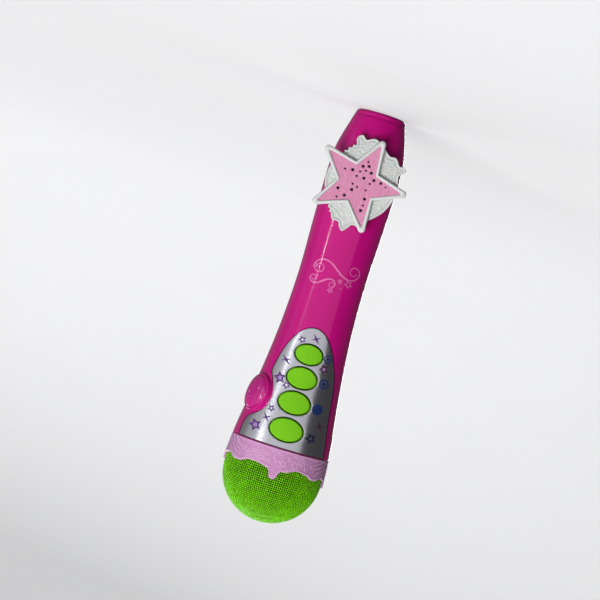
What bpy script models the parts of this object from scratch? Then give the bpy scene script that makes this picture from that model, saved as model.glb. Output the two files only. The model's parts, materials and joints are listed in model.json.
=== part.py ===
"""A toy microphone with four effect buttons, a star-shaped speaker grille and a mesh head.

The model is in metres with +Z up. It stands on its butt end: the origin is the centre of the butt's
flat face, the mesh head is at +Z, and the control panel and the star face -Y. Sizes below are in
millimetres, and MM turns them into metres. Angles round the body are in degrees, counted from the
front (-Y) towards +X. A face frame has its first axis across, its second one up the body and its
third one pointing out of the surface.
"""

import math

import bmesh
import bpy
from mathutils import Matrix, Vector

MM = 0.001
GAP = 0.3  # clearance between pieces that touch

# handle: (height, outer radius), narrow at the butt, waisted in the middle, flared to the head
BODY_KNOTS = (
    (3.0, 12.85), (8.5, 14.35), (14.6, 15.95), (20.0, 17.1), (25.0, 17.6), (36.0, 17.7), (58.0, 17.25),
    (83.0, 16.6), (107.0, 17.4), (127.0, 19.1), (146.0, 21.4), (160.0, 23.45), (168.0, 24.35),
)
WALL = 2.4
CAP_TOP = 2.7
SHELL_BOTTOM, SHELL_TOP = 3.0, 167.9
SHELL_ROWS = 11
HALF_SWEEP = 179.0  # each shell stops just short of the parting plane
HALF_STEPS = 16

# head
COLLAR_BOTTOM = 168.2
HEAD_RADIUS, HEAD_CENTRE = 24.4, 182.1
MESH_THICKNESS = 0.9
MESH_BOTTOM = 170.9
HEAD_PLATE_TOP = 170.6
HEAD_PLATE_RADIUS = 22.0
COLLAR_EDGE = 177.3
COLLAR_CLEARANCE = 0.45  # from the collar to the ball
# waves of the collar's upper edge: (angle, half width in degrees, height)
COLLAR_WAVES = (
    (-2, 17, 1.2), (0, 5.5, 4.5), (49, 12, 1.9), (92, 15, 1.3), (97, 5.5, 3.6), (136, 11, 1.8), (180, 17, 1.3),
    (186, 5.5, 4.4), (229, 12, 1.9), (-86, 15, 1.3), (-91, 5.5, 3.8), (-52, 9, 1.6),
)

# control panel and its buttons
PANEL_THICKNESS, RECESS_DEPTH = 1.0, 1.3
PANEL_LEFT = (
    (-21.1, 167.6), (-20.0, 160.0), (-18.6, 152.0), (-17.4, 143.3), (-16.5, 136.0), (-15.0, 129.0),
    (-13.1, 123.6), (-11.2, 119.0), (-9.3, 115.7), (-6.6, 111.8),
)
PANEL_TIP = ((-3.4, 109.4), (0.0, 108.4), (3.2, 109.0))
PANEL_RIGHT = (
    (5.4, 110.3), (7.6, 112.3), (10.3, 116.7), (12.2, 121.4), (13.5, 126.1), (14.7, 131.0), (15.2, 133.8),
)
PANEL_BITE = (
    (15.2, 133.8), (13.3, 137.0), (12.2, 141.0), (11.9, 145.0), (12.4, 149.2), (14.0, 152.8), (16.4, 155.2),
    (18.8, 157.2), (20.2, 160.0), (20.9, 163.5), (21.1, 167.6),
)
# effect buttons: (height, half width, half height)
BUTTONS = ((158.7, 8.0, 5.35), (145.4, 7.7, 5.2), (133.1, 7.2, 4.95), (121.4, 6.6, 4.6))
BUTTON_TILT = 6.8
BUTTON_LIFT = 1.1
BUTTON_CLEARANCE = 0.45
BUTTON_STEPS = 20
KEY_PLANE_POINT = Vector((0.0, -13.7, 121.4))  # the buttons' retaining flanges lie in this tilted plane
FLANGE_ACROSS, FLANGE_UP, FLANGE_THICKNESS = 1.2, 0.8, 1.2
KEYPAD_TOP, KEYPAD_SHEET, KEYPAD_HALF_WIDTH = -1.5, 0.8, 9.0
DOME_HEIGHT = 1.6
PCB_FRONT, PCB_THICKNESS, PCB_HALF_WIDTH = -4.2, 1.6, 9.6
PCB_LOW, PCB_HIGH = -10.5, 44.5  # along the key plane, from KEY_PLANE_POINT
PCB_POSTS = ((0.0, -8.0), (-7.6, 31.0))

# round power button on the right-hand side
POWER_ANGLE, POWER_HEIGHT, POWER_TILT = 58.0, 146.0, 7.5
POWER_RADIUS, POWER_HOLE = 7.6, 8.0
# the bezel flares from its foot to a flat face, counted from the handle's surface at its centre
BEZEL_FOOT, BEZEL_RADIUS, BEZEL_FACE = 8.7, 9.3, 1.8
POWER_DOME = 1.3
SWITCH_BOARD_POSTS = (-10.8, 10.8)

# star, lace plate and speaker, on a drum that stands out of the handle's front
STAR_CENTRE = (1.5, 36.3)
DRUM_HEIGHT = 36.2
STAR_TIP, STAR_INNER, STAR_ROUNDING = 27.6, 10.6, 1.8
GRILLE_TIP, GRILLE_INNER = 21.4, 8.9
STAR_TURN = 3.0  # degrees; the first of the five tips points 39 degrees above +X
PLATE_BACK, PLATE_FRONT = 18.2, 19.8
STAR_BACK, STAR_FRONT = 20.1, 22.6
GRILLE_FRONT = 21.5
DRUM_RADIUS, DRUM_BORE, DRUM_FRONT = 16.9, 14.6, 17.9
SOUND_OPENING = 8.6  # round hole of the lace plate, behind the middle of the star
# outline of the lace plate, from its axis: a round disc with frilled lobes at the top and the bottom
LACE_OUTLINE = (
    (-5.6, 18.6), (-4.3, 19.9), (-1.4, 19.9), (0.3, 22.0), (2.4, 24.0), (4.4, 22.2), (5.4, 20.2), (8.4, 20.0),
    (9.7, 17.4), (11.4, 14.6), (13.6, 10.9), (16.4, 5.9), (17.4, 0.6), (16.6, -5.2), (14.4, -9.8), (11.9, -12.5),
    (10.2, -14.6), (8.8, -16.2), (7.5, -18.2), (8.3, -20.3), (7.5, -22.2), (5.6, -22.9), (3.6, -21.3),
    (1.2, -22.5), (-1.0, -22.8), (-3.2, -21.5), (-5.6, -20.0), (-7.4, -18.4), (-9.4, -16.9), (-12.2, -17.0),
    (-13.8, -15.6), (-15.2, -13.6), (-17.5, -13.7), (-18.6, -12.0), (-17.4, -10.2), (-16.2, -8.6), (-16.9, -5.0),
    (-17.4, 0.0), (-16.3, 5.2), (-13.9, 10.0), (-10.6, 13.6), (-8.0, 15.8),
)
# sound holes of the star grille, from its centre: (across, up, radius)
SOUND_HOLES = (
    (-4.9, 12.0, 0.75), (-5.1, 6.2, 0.75), (4.7, 7.2, 0.75), (8.6, 4.7, 0.75), (2.1, 3.6, 0.75),
    (-10.4, -3.2, 0.7), (-6.8, -3.6, 0.75), (-1.9, -3.3, 0.75), (4.4, -5.6, 0.75), (-4.6, -6.6, 0.75),
    (-2.7, -9.4, 0.75), (0.1, -8.6, 0.75), (-5.2, 9.3, 0.5), (8.0, 8.9, 0.5), (-4.4, 2.0, 0.5),
    (0.0, 1.7, 0.5), (2.4, 0.8, 0.5), (-5.4, -1.5, 0.5), (1.7, -3.3, 0.5), (-13.0, -2.1, 0.4),
    (8.0, -5.1, 0.5), (0.7, -5.9, 0.5), (-1.8, -7.0, 0.5), (-1.8, -11.3, 0.5),
)

# screws that join the shells: (across, height)
SHELL_SCREWS = ((0.0, 13.0), (0.0, 53.0), (-12.5, 120.0), (12.5, 120.0), (-17.0, 161.2), (17.0, 161.2))
SCREW_FLOOR = 6.0  # the heads rest this far behind the parting plane
SCREW_HEAD, SCREW_SHANK, SCREW_HOLE = 2.1, 1.0, 1.3

# batteries: two AAA cells side by side behind the door
CELL_RADIUS, CELL_LENGTH = 5.1, 44.5
CELL_ACROSS, CELL_BACK = 5.4, 5.8
TRAY_LOW, TRAY_HIGH, TRAY_WALL = 57.0, 108.4, 1.0
TRAY_HALF_WIDTH, TRAY_RADIUS = 11.95, 13.8
DOOR_LOW, DOOR_HIGH, DOOR_HALF_ANGLE = 57.5, 113.5, 46.0
DOOR_SCREW_HEIGHT = 110.2
DOOR_SCREW_FLOOR = 15.2

# (colour, roughness, metallic)
MATERIALS = {
    "magenta": ((0.60, 0.01, 0.22), 0.2, 0.0),
    "lime": ((0.20, 0.58, 0.01), 0.25, 0.0),
    "mesh_green": ((0.10, 0.32, 0.01), 0.4, 0.0),
    "lilac": ((0.68, 0.30, 0.60), 0.35, 0.0),
    "silver": ((0.60, 0.62, 0.62), 0.3, 0.7),
    "white": ((0.72, 0.76, 0.73), 0.35, 0.0),
    "pink": ((0.72, 0.28, 0.48), 0.45, 0.0),
    "power_magenta": ((0.50, 0.01, 0.20), 0.1, 0.0),
    "silicone": ((0.55, 0.55, 0.52), 0.6, 0.0),
    "board_green": ((0.02, 0.20, 0.08), 0.5, 0.0),
    "black_plastic": ((0.02, 0.02, 0.02), 0.45, 0.0),
    "can_blue": ((0.03, 0.06, 0.25), 0.4, 0.0),
    "steel": ((0.55, 0.55, 0.55), 0.3, 1.0),
    "paper": ((0.05, 0.05, 0.05), 0.9, 0.0),
    "cell_wrap": ((0.08, 0.15, 0.45), 0.35, 0.2),
    "foam": ((0.02, 0.06, 0.01), 1.0, 0.0),
    "rubber": ((0.03, 0.03, 0.03), 0.8, 0.0),
    "aluminium": ((0.70, 0.70, 0.70), 0.35, 1.0),
    "red_wire": ((0.50, 0.02, 0.02), 0.5, 0.0),
    "black_wire": ((0.01, 0.01, 0.01), 0.5, 0.0),
    "grey_wire": ((0.25, 0.25, 0.25), 0.5, 0.0),
}


# ---- formulas ----------------------------------------------------------------------------------------

def smooth_value(knots, at):
    """The value at `at` on a smooth curve through (position, value) knots, straight past its ends."""
    slopes = []
    for i in range(len(knots)):
        before, after = knots[max(i - 1, 0)], knots[min(i + 1, len(knots) - 1)]
        slopes.append((after[1] - before[1]) / (after[0] - before[0]))
    if at <= knots[0][0]:
        return knots[0][1] + slopes[0] * (at - knots[0][0])
    if at >= knots[-1][0]:
        return knots[-1][1] + slopes[-1] * (at - knots[-1][0])
    i = max(k for k in range(len(knots) - 1) if knots[k][0] <= at)
    span = knots[i + 1][0] - knots[i][0]
    t = (at - knots[i][0]) / span
    return (
        knots[i][1] * (2 * t**3 - 3 * t**2 + 1)
        + slopes[i] * span * (t**3 - 2 * t**2 + t)
        + knots[i + 1][1] * (3 * t**2 - 2 * t**3)
        + slopes[i + 1] * span * (t**3 - t**2)
    )


def body_radius(height):
    return smooth_value(BODY_KNOTS, height)


def collar_edge(angle):
    """Height of the collar's wavy upper edge at an angle round the body."""
    height = COLLAR_EDGE
    for centre, half_width, rise in COLLAR_WAVES:
        off = (angle - centre + 180.0) % 360.0 - 180.0
        height += rise * math.exp(-((off / half_width) ** 4))
    return height


def head_radius_at(height):
    return math.sqrt(max(HEAD_RADIUS**2 - (height - HEAD_CENTRE) ** 2, 0.0))


def spread(low, high, count):
    return [low + (high - low) * i / (count - 1) for i in range(count)]


def on_ring(angle, radius, height):
    turn = math.radians(angle)
    return Vector((radius * math.sin(turn), -radius * math.cos(turn), height))


def face_frame(angle, tilt, centre):
    """Frame on the body's side: across, up and out, with `out` tilted down by `tilt` degrees."""
    turn, lean = math.radians(angle), math.radians(tilt)
    across = Vector((math.cos(turn), math.sin(turn), 0.0))
    out = Vector((math.sin(turn) * math.cos(lean), -math.cos(turn) * math.cos(lean), -math.sin(lean)))
    up = out.cross(across)
    frame = Matrix((across, up, out)).transposed().to_4x4()
    frame.translation = centre
    return frame


def surface_depth(frame, across, up, lift):
    """How far along the frame's third axis the point (across, up) meets the body lifted by `lift`."""
    low, high = -15.0, 15.0
    for _ in range(40):
        middle = (low + high) / 2
        point = frame @ Vector((across, up, middle))
        inside = math.hypot(point.x, point.y) < body_radius(point.z) + lift
        low, high = (middle, high) if inside else (low, middle)
    return low


def circle(radius, steps=24, across=0.0, up=0.0):
    return ellipse(radius, radius, steps, across, up)


def ellipse(half_width, half_height, steps=24, across=0.0, up=0.0):
    turns = [2 * math.pi * i / steps for i in range(steps)]
    return [(across + half_width * math.cos(t), up + half_height * math.sin(t)) for t in turns]


def rectangle(left, bottom, right, top):
    return [(left, bottom), (right, bottom), (right, top), (left, top)]


def smooth_line(points, per_span):
    """Points of a Catmull-Rom curve through the given points, ends included."""
    points = [Vector(p) for p in points]
    last = len(points) - 1
    result = []
    for i in range(last):
        p0, p1, p2, p3 = (points[min(max(i + k, 0), last)] for k in (-1, 0, 1, 2))
        for step in range(per_span):
            t = step / per_span
            bend = 2 * p0 - 5 * p1 + 4 * p2 - p3
            twist = 3 * p1 - p0 - 3 * p2 + p3
            result.append((2 * p1 + (p2 - p0) * t + bend * t**2 + twist * t**3) / 2)
    result.append(points[-1])
    return result


def rounded_polygon(corners, roundings, steps):
    """A polygon whose corners are arcs of the given radii."""
    corners = [Vector(c) for c in corners]
    result = []
    for i, (corner, radius) in enumerate(zip(corners, roundings)):
        to_last = (corners[i - 1] - corner).normalized()
        to_next = (corners[(i + 1) % len(corners)] - corner).normalized()
        half = to_last.angle(to_next) / 2
        centre = corner + (to_last + to_next).normalized() * (radius / math.sin(half))
        start = corner + to_last * (radius / math.tan(half)) - centre
        finish = corner + to_next * (radius / math.tan(half)) - centre
        sweep = start.angle_signed(finish)
        for step in range(steps + 1):
            turned_start = start.copy()
            turned_start.rotate(Matrix.Rotation(-sweep * step / steps, 2))
            result.append(tuple(centre + turned_start))
    return result


def star(tip, inner, tip_rounding, inner_rounding, steps):
    """Outline of a five-pointed star with rounded tips and corners."""
    corners, roundings = [], []
    for i in range(10):
        turn = math.radians(36.0 + STAR_TURN + 36.0 * i)
        reach = inner if i % 2 else tip
        corners.append((reach * math.cos(turn), reach * math.sin(turn)))
        roundings.append(inner_rounding if i % 2 else tip_rounding)
    return rounded_polygon(corners, roundings, steps)


def grown(outline, distance):
    """The outline moved outwards by a distance; it runs anticlockwise."""
    points = [Vector(p) for p in outline]
    result = []
    for i, point in enumerate(points):
        ahead = (points[(i + 1) % len(points)] - point).normalized()
        behind = (point - points[i - 1]).normalized()
        along = (ahead + behind).normalized()
        result.append((point.x + along.y * distance, point.y - along.x * distance))
    return result


def panel_outline():
    """The panel's outline seen from the front: (across, height), anticlockwise."""
    return [*PANEL_LEFT, *PANEL_TIP, *PANEL_RIGHT, *PANEL_BITE[1:]]


# ---- mesh builders -----------------------------------------------------------------------------------

def without_repeats(corners):
    result = []
    for corner in corners:
        if corner not in result:
            result.append(corner)
    return result


def turned(section, start=0.0, sweep=360.0, steps=48):
    """The closed solid of a (radius, height) section turned round the Z axis."""
    shape = bmesh.new()
    whole = sweep == 360.0
    columns = steps if whole else steps + 1
    rows = []
    for radius, height in section:
        if radius < 1e-6:
            rows.append([shape.verts.new((0.0, 0.0, height))] * columns)
        else:
            places = [on_ring(start + sweep * i / steps, radius, height) for i in range(columns)]
            rows.append([shape.verts.new(p) for p in places])
    for j in range(len(rows)):
        here, following = rows[j], rows[(j + 1) % len(rows)]
        for i in range(steps):
            k = (i + 1) % columns
            corners = without_repeats([here[i], here[k], following[k], following[i]])
            if len(corners) > 2:
                shape.faces.new(corners)
    if not whole:
        shape.faces.new(without_repeats([row[0] for row in rows]))
        shape.faces.new(without_repeats([row[-1] for row in rows]))
    bmesh.ops.recalc_face_normals(shape, faces=shape.faces)
    return shape


def stacked(frame, rings, hollow=False):
    """The solid between rings of (across, up, out) points; a ring of one point closes to a tip.

    A hollow stack joins its last ring to its first one, otherwise each end is capped.
    """
    shape = bmesh.new()
    rows = [[shape.verts.new(frame @ Vector(p)) for p in ring] for ring in rings]
    count = max(len(row) for row in rows)
    pairs = list(zip(rows, rows[1:]))
    if hollow:
        pairs.append((rows[-1], rows[0]))
    for here, following in pairs:
        for i in range(count):
            k = (i + 1) % count
            corners = [here[i % len(here)], here[k % len(here)], following[k % len(following)],
                       following[i % len(following)]]
            shape.faces.new(without_repeats(corners))
    if not hollow:
        for row in (rows[0], rows[-1]):
            if len(row) > 1:
                shape.faces.new(row)
    bmesh.ops.recalc_face_normals(shape, faces=shape.faces)
    return shape


def at_level(outline, level):
    return [(a, b, level) for a, b in outline]


def prism(frame, outline, low, high):
    return stacked(frame, [at_level(outline, low), at_level(outline, high)])


def lathe(frame, section, steps=24):
    """A (radius, out) section turned about the frame's third axis; radius 0 gives a tip."""
    rings = [[(0.0, 0.0, w)] if radius < 1e-6 else at_level(circle(radius, steps), w) for radius, w in section]
    hollow = all(radius > 1e-6 for radius, _ in section)
    return stacked(frame, rings, hollow)


def box(low, high):
    frame = Matrix.Identity(4)
    return prism(frame, rectangle(low[0], low[1], high[0], high[1]), low[2], high[2])


def merged(shapes):
    """One mesh of several shapes that don't touch."""
    result = bmesh.new()
    for shape in shapes:
        mesh = bpy.data.meshes.new("merged")
        shape.to_mesh(mesh)
        shape.free()
        result.from_mesh(mesh)
        bpy.data.meshes.remove(mesh)
    return result


def combine(shape, tool, operation):
    """The Boolean DIFFERENCE, UNION or INTERSECT of two shapes, which it uses up."""
    objects = []
    for piece in (shape, tool):
        mesh = bpy.data.meshes.new("operand")
        piece.to_mesh(mesh)
        piece.free()
        operand = bpy.data.objects.new("operand", mesh)
        bpy.context.scene.collection.objects.link(operand)
        objects.append(operand)
    modifier = objects[0].modifiers.new("combine", "BOOLEAN")
    modifier.operation = operation
    modifier.object = objects[1]
    result = bmesh.new()
    result.from_object(objects[0], bpy.context.evaluated_depsgraph_get())
    for operand in objects:
        mesh = operand.data
        bpy.data.objects.remove(operand)
        bpy.data.meshes.remove(mesh)
    return result


def cut(shape, *tools):
    for tool in tools:
        shape = combine(shape, tool, "DIFFERENCE")
    return shape


def join(shape, *tools):
    for tool in tools:
        shape = combine(shape, tool, "UNION")
    return shape


def body_solid(lift, low=SHELL_BOTTOM, high=SHELL_TOP, steps=2 * HALF_STEPS, rows=SHELL_ROWS):
    """The handle's outer form, full, lifted outwards by `lift`."""
    section = [(0.0, low)] + [(body_radius(z) + lift, z) for z in spread(low, high, rows)] + [(0.0, high)]
    return turned(section, steps=steps)


def body_wall(inner_lift, outer_lift, low, high, middle, half_angle, steps, rows):
    """A stretch of the handle's wall between two lifts, centred on an angle."""
    heights = spread(low, high, rows)
    section = [(body_radius(z) + outer_lift, z) for z in heights]
    section += [(body_radius(z) + inner_lift, z) for z in reversed(heights)]
    return turned(section, middle - half_angle, 2 * half_angle, steps)


# ---- scene -------------------------------------------------------------------------------------------

def clear_scene():
    for item in list(bpy.data.objects):
        bpy.data.objects.remove(item)


def make_material(name):
    colour, roughness, metallic = MATERIALS[name]
    material = bpy.data.materials.new(name)
    material.use_nodes = True
    shader = material.node_tree.nodes["Principled BSDF"]
    shader.inputs["Base Color"].default_value = (*colour, 1.0)
    shader.inputs["Roughness"].default_value = roughness
    shader.inputs["Metallic"].default_value = metallic
    return material


def make_empty(name, place=Vector((0.0, 0.0, 0.0))):
    empty = bpy.data.objects.new(name, None)
    empty.empty_display_size = 0.01
    empty.location = Vector(place) * MM
    bpy.context.scene.collection.objects.link(empty)
    return empty


def add_piece(name, shape, material, parent, sharp_angle=35.0):
    """Adds a shape, given in millimetres, as an object whose origin is its parent's."""
    origin = parent.location / MM
    bmesh.ops.translate(shape, verts=shape.verts, vec=-origin)
    bmesh.ops.scale(shape, verts=shape.verts, vec=(MM, MM, MM))
    mesh = bpy.data.meshes.new(name)
    shape.to_mesh(mesh)
    shape.free()
    mesh.materials.append(bpy.data.materials.get(material) or make_material(material))
    mesh.shade_smooth()
    mesh.set_sharp_from_angle(angle=math.radians(sharp_angle))
    piece = bpy.data.objects.new(name, mesh)
    bpy.context.scene.collection.objects.link(piece)
    piece.parent = parent
    return piece


def add_lead(name, points, radius, material, parent):
    """An insulated lead: a round tube along a smooth curve through the points."""
    curve = bpy.data.curves.new(name, "CURVE")
    curve.dimensions = "3D"
    curve.bevel_depth = radius * MM
    curve.bevel_resolution = 2
    curve.use_fill_caps = True
    curve.resolution_u = 1
    curve.render_resolution_u = 0
    route = smooth_line(points, 2)
    line = curve.splines.new("POLY")
    line.points.add(len(route) - 1)
    for point, place in zip(line.points, route):
        point.co = (*(place * MM), 1.0)
    curve.materials.append(bpy.data.materials.get(material) or make_material(material))
    lead = bpy.data.objects.new(name, curve)
    bpy.context.scene.collection.objects.link(lead)
    lead.parent = parent
    return lead


# ---- shared places -----------------------------------------------------------------------------------

def button_frame(height):
    return face_frame(0.0, BUTTON_TILT, Vector((0.0, -body_radius(height), height)))


def key_frame():
    return face_frame(0.0, BUTTON_TILT, KEY_PLANE_POINT)


def key_plane_depth(frame):
    """How deep the key plane lies below the origin of a button's frame."""
    return (frame.translation - KEY_PLANE_POINT).dot(frame.col[2].to_3d())


def height_on_key_plane(frame):
    """Where a button's axis meets the key plane, counted up from KEY_PLANE_POINT."""
    return (frame.translation - KEY_PLANE_POINT).dot(frame.col[1].to_3d())


def power_frame():
    return face_frame(POWER_ANGLE, POWER_TILT, on_ring(POWER_ANGLE, body_radius(POWER_HEIGHT), POWER_HEIGHT))


def front_frame(across=0.0, height=0.0):
    """Frame facing -Y whose third axis counts from the handle's own axis."""
    return face_frame(0.0, 0.0, Vector((across, 0.0, height)))


def rear_frame(across=0.0, height=0.0):
    """Frame facing +Y; its first axis points to -X."""
    return face_frame(180.0, 0.0, Vector((across, 0.0, height)))


# ---- handle ------------------------------------------------------------------------------------------

def half_shell(middle):
    return body_wall(-WALL, 0.0, SHELL_BOTTOM, SHELL_TOP, middle, HALF_SWEEP / 2, HALF_STEPS, SHELL_ROWS)


def panel_region(growth, inner_lift, outer_lift):
    """The part of the handle's wall that lies behind the panel's outline, between two lifts."""
    outline = panel_outline()
    if growth:
        top = max(b for _, b in outline)
        outline = [(a, b + 3.0 if b > top - 0.01 + growth else b) for a, b in grown(outline, growth)]
    wall = body_wall(inner_lift, outer_lift, 104.0, 174.0, 0.0, 74.0, 14, 8)
    return combine(wall, prism(front_frame(), outline, 2.0, 40.0), "INTERSECT")


def front_bosses():
    """Posts that take the shell screws and the circuit boards' screws, trimmed inside the wall."""
    posts = [prism(rear_frame(x, z), circle(2.2, 10), -30.0, -0.15) for x, z in SHELL_SCREWS]
    board = key_frame()
    posts += [prism(board, circle(2.0, 10, a, b), PCB_FRONT + GAP, 12.0) for a, b in PCB_POSTS]
    side = power_frame()
    posts += [prism(side, circle(1.3, 8, 0.0, b), -9.6, 5.0) for b in SWITCH_BOARD_POSTS]
    return combine(merged(posts), body_solid(-0.7), "INTERSECT")


def pilot_holes():
    holes = [prism(rear_frame(x, z), circle(SCREW_HOLE, 8), -7.0, 1.0) for x, z in SHELL_SCREWS]
    board = key_frame()
    holes += [prism(board, circle(1.05, 8, a, b), PCB_FRONT - 1.0, PCB_FRONT + 4.2) for a, b in PCB_POSTS]
    return merged(holes)


def button_holes():
    holes = []
    for height, half_width, half_height in BUTTONS:
        outline = ellipse(half_width + BUTTON_CLEARANCE, half_height + BUTTON_CLEARANCE, BUTTON_STEPS)
        holes.append(prism(button_frame(height), outline, -8.0, 8.0))
    return merged(holes)


def add_front_shell(parent):
    drum = front_frame(0.0, DRUM_HEIGHT)
    shape = half_shell(0.0)
    shape = join(shape, prism(drum, circle(DRUM_RADIUS, 30), 4.2, DRUM_FRONT), front_bosses())
    shape = cut(
        shape,
        prism(drum, circle(DRUM_BORE, 30), 3.4, DRUM_FRONT + 1.0),
        pilot_holes(),
        panel_region(GAP, -RECESS_DEPTH, 4.0),
        button_holes(),
        prism(power_frame(), circle(POWER_HOLE, 24), -6.0, 8.0),
    )
    add_piece("front_shell", shape, "magenta", parent)


def add_rear_shell(parent):
    towers = [prism(rear_frame(x, z), circle(3.3, 12), 0.15, 30.0) for x, z in SHELL_SCREWS]
    towers = combine(merged(towers), body_solid(-0.7), "INTERSECT")
    wells = []
    for x, z in SHELL_SCREWS:
        steps = ((SCREW_HOLE, -1.0), (SCREW_HOLE, SCREW_FLOOR), (SCREW_HEAD + 0.4, SCREW_FLOOR),
                 (SCREW_HEAD + 0.4, 40.0))
        rings = [at_level(circle(radius, 12), level) for radius, level in steps]
        wells.append(stacked(rear_frame(x, z), rings))
    opening_section = ((10.0, DOOR_LOW - GAP), (30.0, DOOR_LOW - GAP), (30.0, DOOR_HIGH + GAP),
                       (10.0, DOOR_HIGH + GAP))
    half = DOOR_HALF_ANGLE + 1.0
    opening = turned(opening_section, 180.0 - half, 2 * half, 10)
    shape = cut(join(half_shell(180.0), towers), opening, merged(wells))
    add_piece("rear_shell", shape, "magenta", parent)


def add_end_cap(parent):
    """The butt: a rounded disc with a ring that plugs into the shells."""
    plug = body_radius(SHELL_BOTTOM) - WALL - GAP
    section = (
        (0.0, 0.0), (11.2, 0.0), (11.8, 0.15), (12.3, 0.6), (12.6, 1.3), (12.8, CAP_TOP), (plug, CAP_TOP),
        (plug, 6.0), (plug - 1.5, 6.0), (plug - 1.5, 2.2), (0.0, 2.2),
    )
    add_piece("end_cap", turned(section, steps=28), "magenta", parent)


def shell_screw(across, height):
    section = (
        (0.0, SCREW_FLOOR + GAP + 1.5), (SCREW_HEAD * 0.7, SCREW_FLOOR + GAP + 1.5),
        (SCREW_HEAD, SCREW_FLOOR + GAP + 0.9), (SCREW_HEAD, SCREW_FLOOR + GAP), (SCREW_SHANK, SCREW_FLOOR + GAP),
        (SCREW_SHANK, -5.0), (0.0, -6.2),
    )
    return lathe(rear_frame(across, height), section, 8)


def add_shell_screws(parent):
    for number, (across, height) in enumerate(SHELL_SCREWS, 1):
        add_piece(f"shell_screw_{number}", shell_screw(across, height), "steel", parent)


# ---- control panel, buttons and boards ---------------------------------------------------------------

def add_control_panel(parent):
    shape = cut(
        panel_region(0.0, -PANEL_THICKNESS, 0.1),
        button_holes(),
        prism(power_frame(), circle(BEZEL_FOOT + 0.4, 28), -10.0, 10.0),
    )
    add_piece("control_panel", shape, "silver", parent)


def effect_button(frame, half_width, half_height):
    """An oval key: a domed cap that follows the body, a hollow skirt, a flange and a centre post."""
    steps = BUTTON_STEPS
    depth = key_plane_depth(frame)
    flange_bottom = -depth - FLANGE_THICKNESS
    rings = [[(0.0, 0.0, BUTTON_LIFT + 0.25)]]
    for share, lift in ((0.6, 0.15), (0.93, 0.05), (1.0, -0.3)):
        outline = ellipse(half_width * share, half_height * share, steps)
        rings.append([(a, b, surface_depth(frame, a, b, BUTTON_LIFT + lift)) for a, b in outline])
    rings.append(at_level(ellipse(half_width, half_height, steps), -depth))
    rings.append(at_level(ellipse(half_width + FLANGE_ACROSS, half_height + FLANGE_UP, steps), -depth))
    rings.append(at_level(ellipse(half_width + FLANGE_ACROSS, half_height + FLANGE_UP, steps), flange_bottom))
    rings.append(at_level(ellipse(half_width - 1.3, half_height - 1.3, steps), flange_bottom))
    rings.append(at_level(ellipse(half_width - 1.3, half_height - 1.3, steps), -2.4))
    rings.append(at_level(circle(2.2, steps), -2.4))
    rings.append(at_level(circle(2.2, steps), flange_bottom))
    rings.append([(0.0, 0.0, flange_bottom)])
    return stacked(frame, rings)


def add_effect_buttons(parent):
    for number, (height, half_width, half_height) in enumerate(BUTTONS, 1):
        frame = button_frame(height)
        pivot = make_empty(f"effect_button_{number}_axis", frame.translation)
        pivot.parent = parent
        shape = effect_button(frame, half_width, half_height)
        add_piece(f"effect_button_{number}", shape, "lime", pivot)


def add_keypad(parent):
    """A silicone sheet with a collapsible dome under each effect button."""
    frame = key_frame()
    bottom = KEYPAD_TOP - DOME_HEIGHT - KEYPAD_SHEET
    low, high = -5.6, 43.6
    outline = rounded_polygon(rectangle(-KEYPAD_HALF_WIDTH, low, KEYPAD_HALF_WIDTH, high), [2.0] * 4, 3)
    sheet = prism(frame, outline, bottom, bottom + KEYPAD_SHEET)
    domes = []
    for height, _, _ in BUTTONS:
        up = height_on_key_plane(button_frame(height))
        levels = ((3.3, bottom + 0.3), (3.3, bottom + KEYPAD_SHEET + 0.2), (2.3, KEYPAD_TOP))
        domes.append(stacked(frame, [at_level(circle(radius, 14, 0.0, up), w) for radius, w in levels]))
    across, up = PCB_POSTS[1]
    shape = cut(join(sheet, merged(domes)), prism(frame, circle(2.4, 14, across, up), bottom - 1.0, 0.0))
    add_piece("keypad", shape, "silicone", parent)


def add_main_board(parent):
    frame = key_frame()
    back = PCB_FRONT - PCB_THICKNESS
    corners = rectangle(-PCB_HALF_WIDTH, PCB_LOW, PCB_HALF_WIDTH, PCB_HIGH)
    board = prism(frame, rounded_polygon(corners, [1.5] * 4, 2), back, PCB_FRONT)
    holes = [prism(frame, circle(1.05, 8, a, b), back - 1.0, PCB_FRONT + 1.0) for a, b in PCB_POSTS]
    add_piece("main_pcb", cut(board, merged(holes)), "board_green", parent)

    head = back - GAP
    for number, (across, up) in enumerate(PCB_POSTS, 1):
        place = frame @ Matrix.Translation((across, up, 0.0))
        section = ((0.0, head - 1.2), (1.3, head - 1.2), (1.9, head - 0.7), (1.9, head), (0.75, head),
                   (0.75, PCB_FRONT + 2.6), (0.0, PCB_FRONT + 3.4))
        add_piece(f"pcb_screw_{number}", lathe(place, section, 8), "steel", parent)

    chip = frame @ Matrix.Translation((1.0, 12.0, back - GAP))
    add_piece("sound_chip", lathe(chip, ((0.0, 0.0), (4.2, 0.0), (4.0, -0.5), (2.6, -1.1), (0.0, -1.35)), 14),
              "black_plastic", parent)
    amplifier = prism(frame, rectangle(-6.0, 0.5, -1.2, 5.5), back - GAP - 1.5, back - GAP)
    add_piece("amplifier_chip", amplifier, "black_plastic", parent)
    can = frame @ Matrix.Translation((5.0, 2.0, back - GAP))
    section = ((0.0, 0.0), (2.4, 0.0), (2.4, -0.9), (2.15, -1.2), (2.4, -1.5), (2.4, -6.2), (2.1, -6.5),
               (0.0, -6.5))
    add_piece("capacitor", lathe(can, section, 14), "can_blue", parent)


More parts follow.
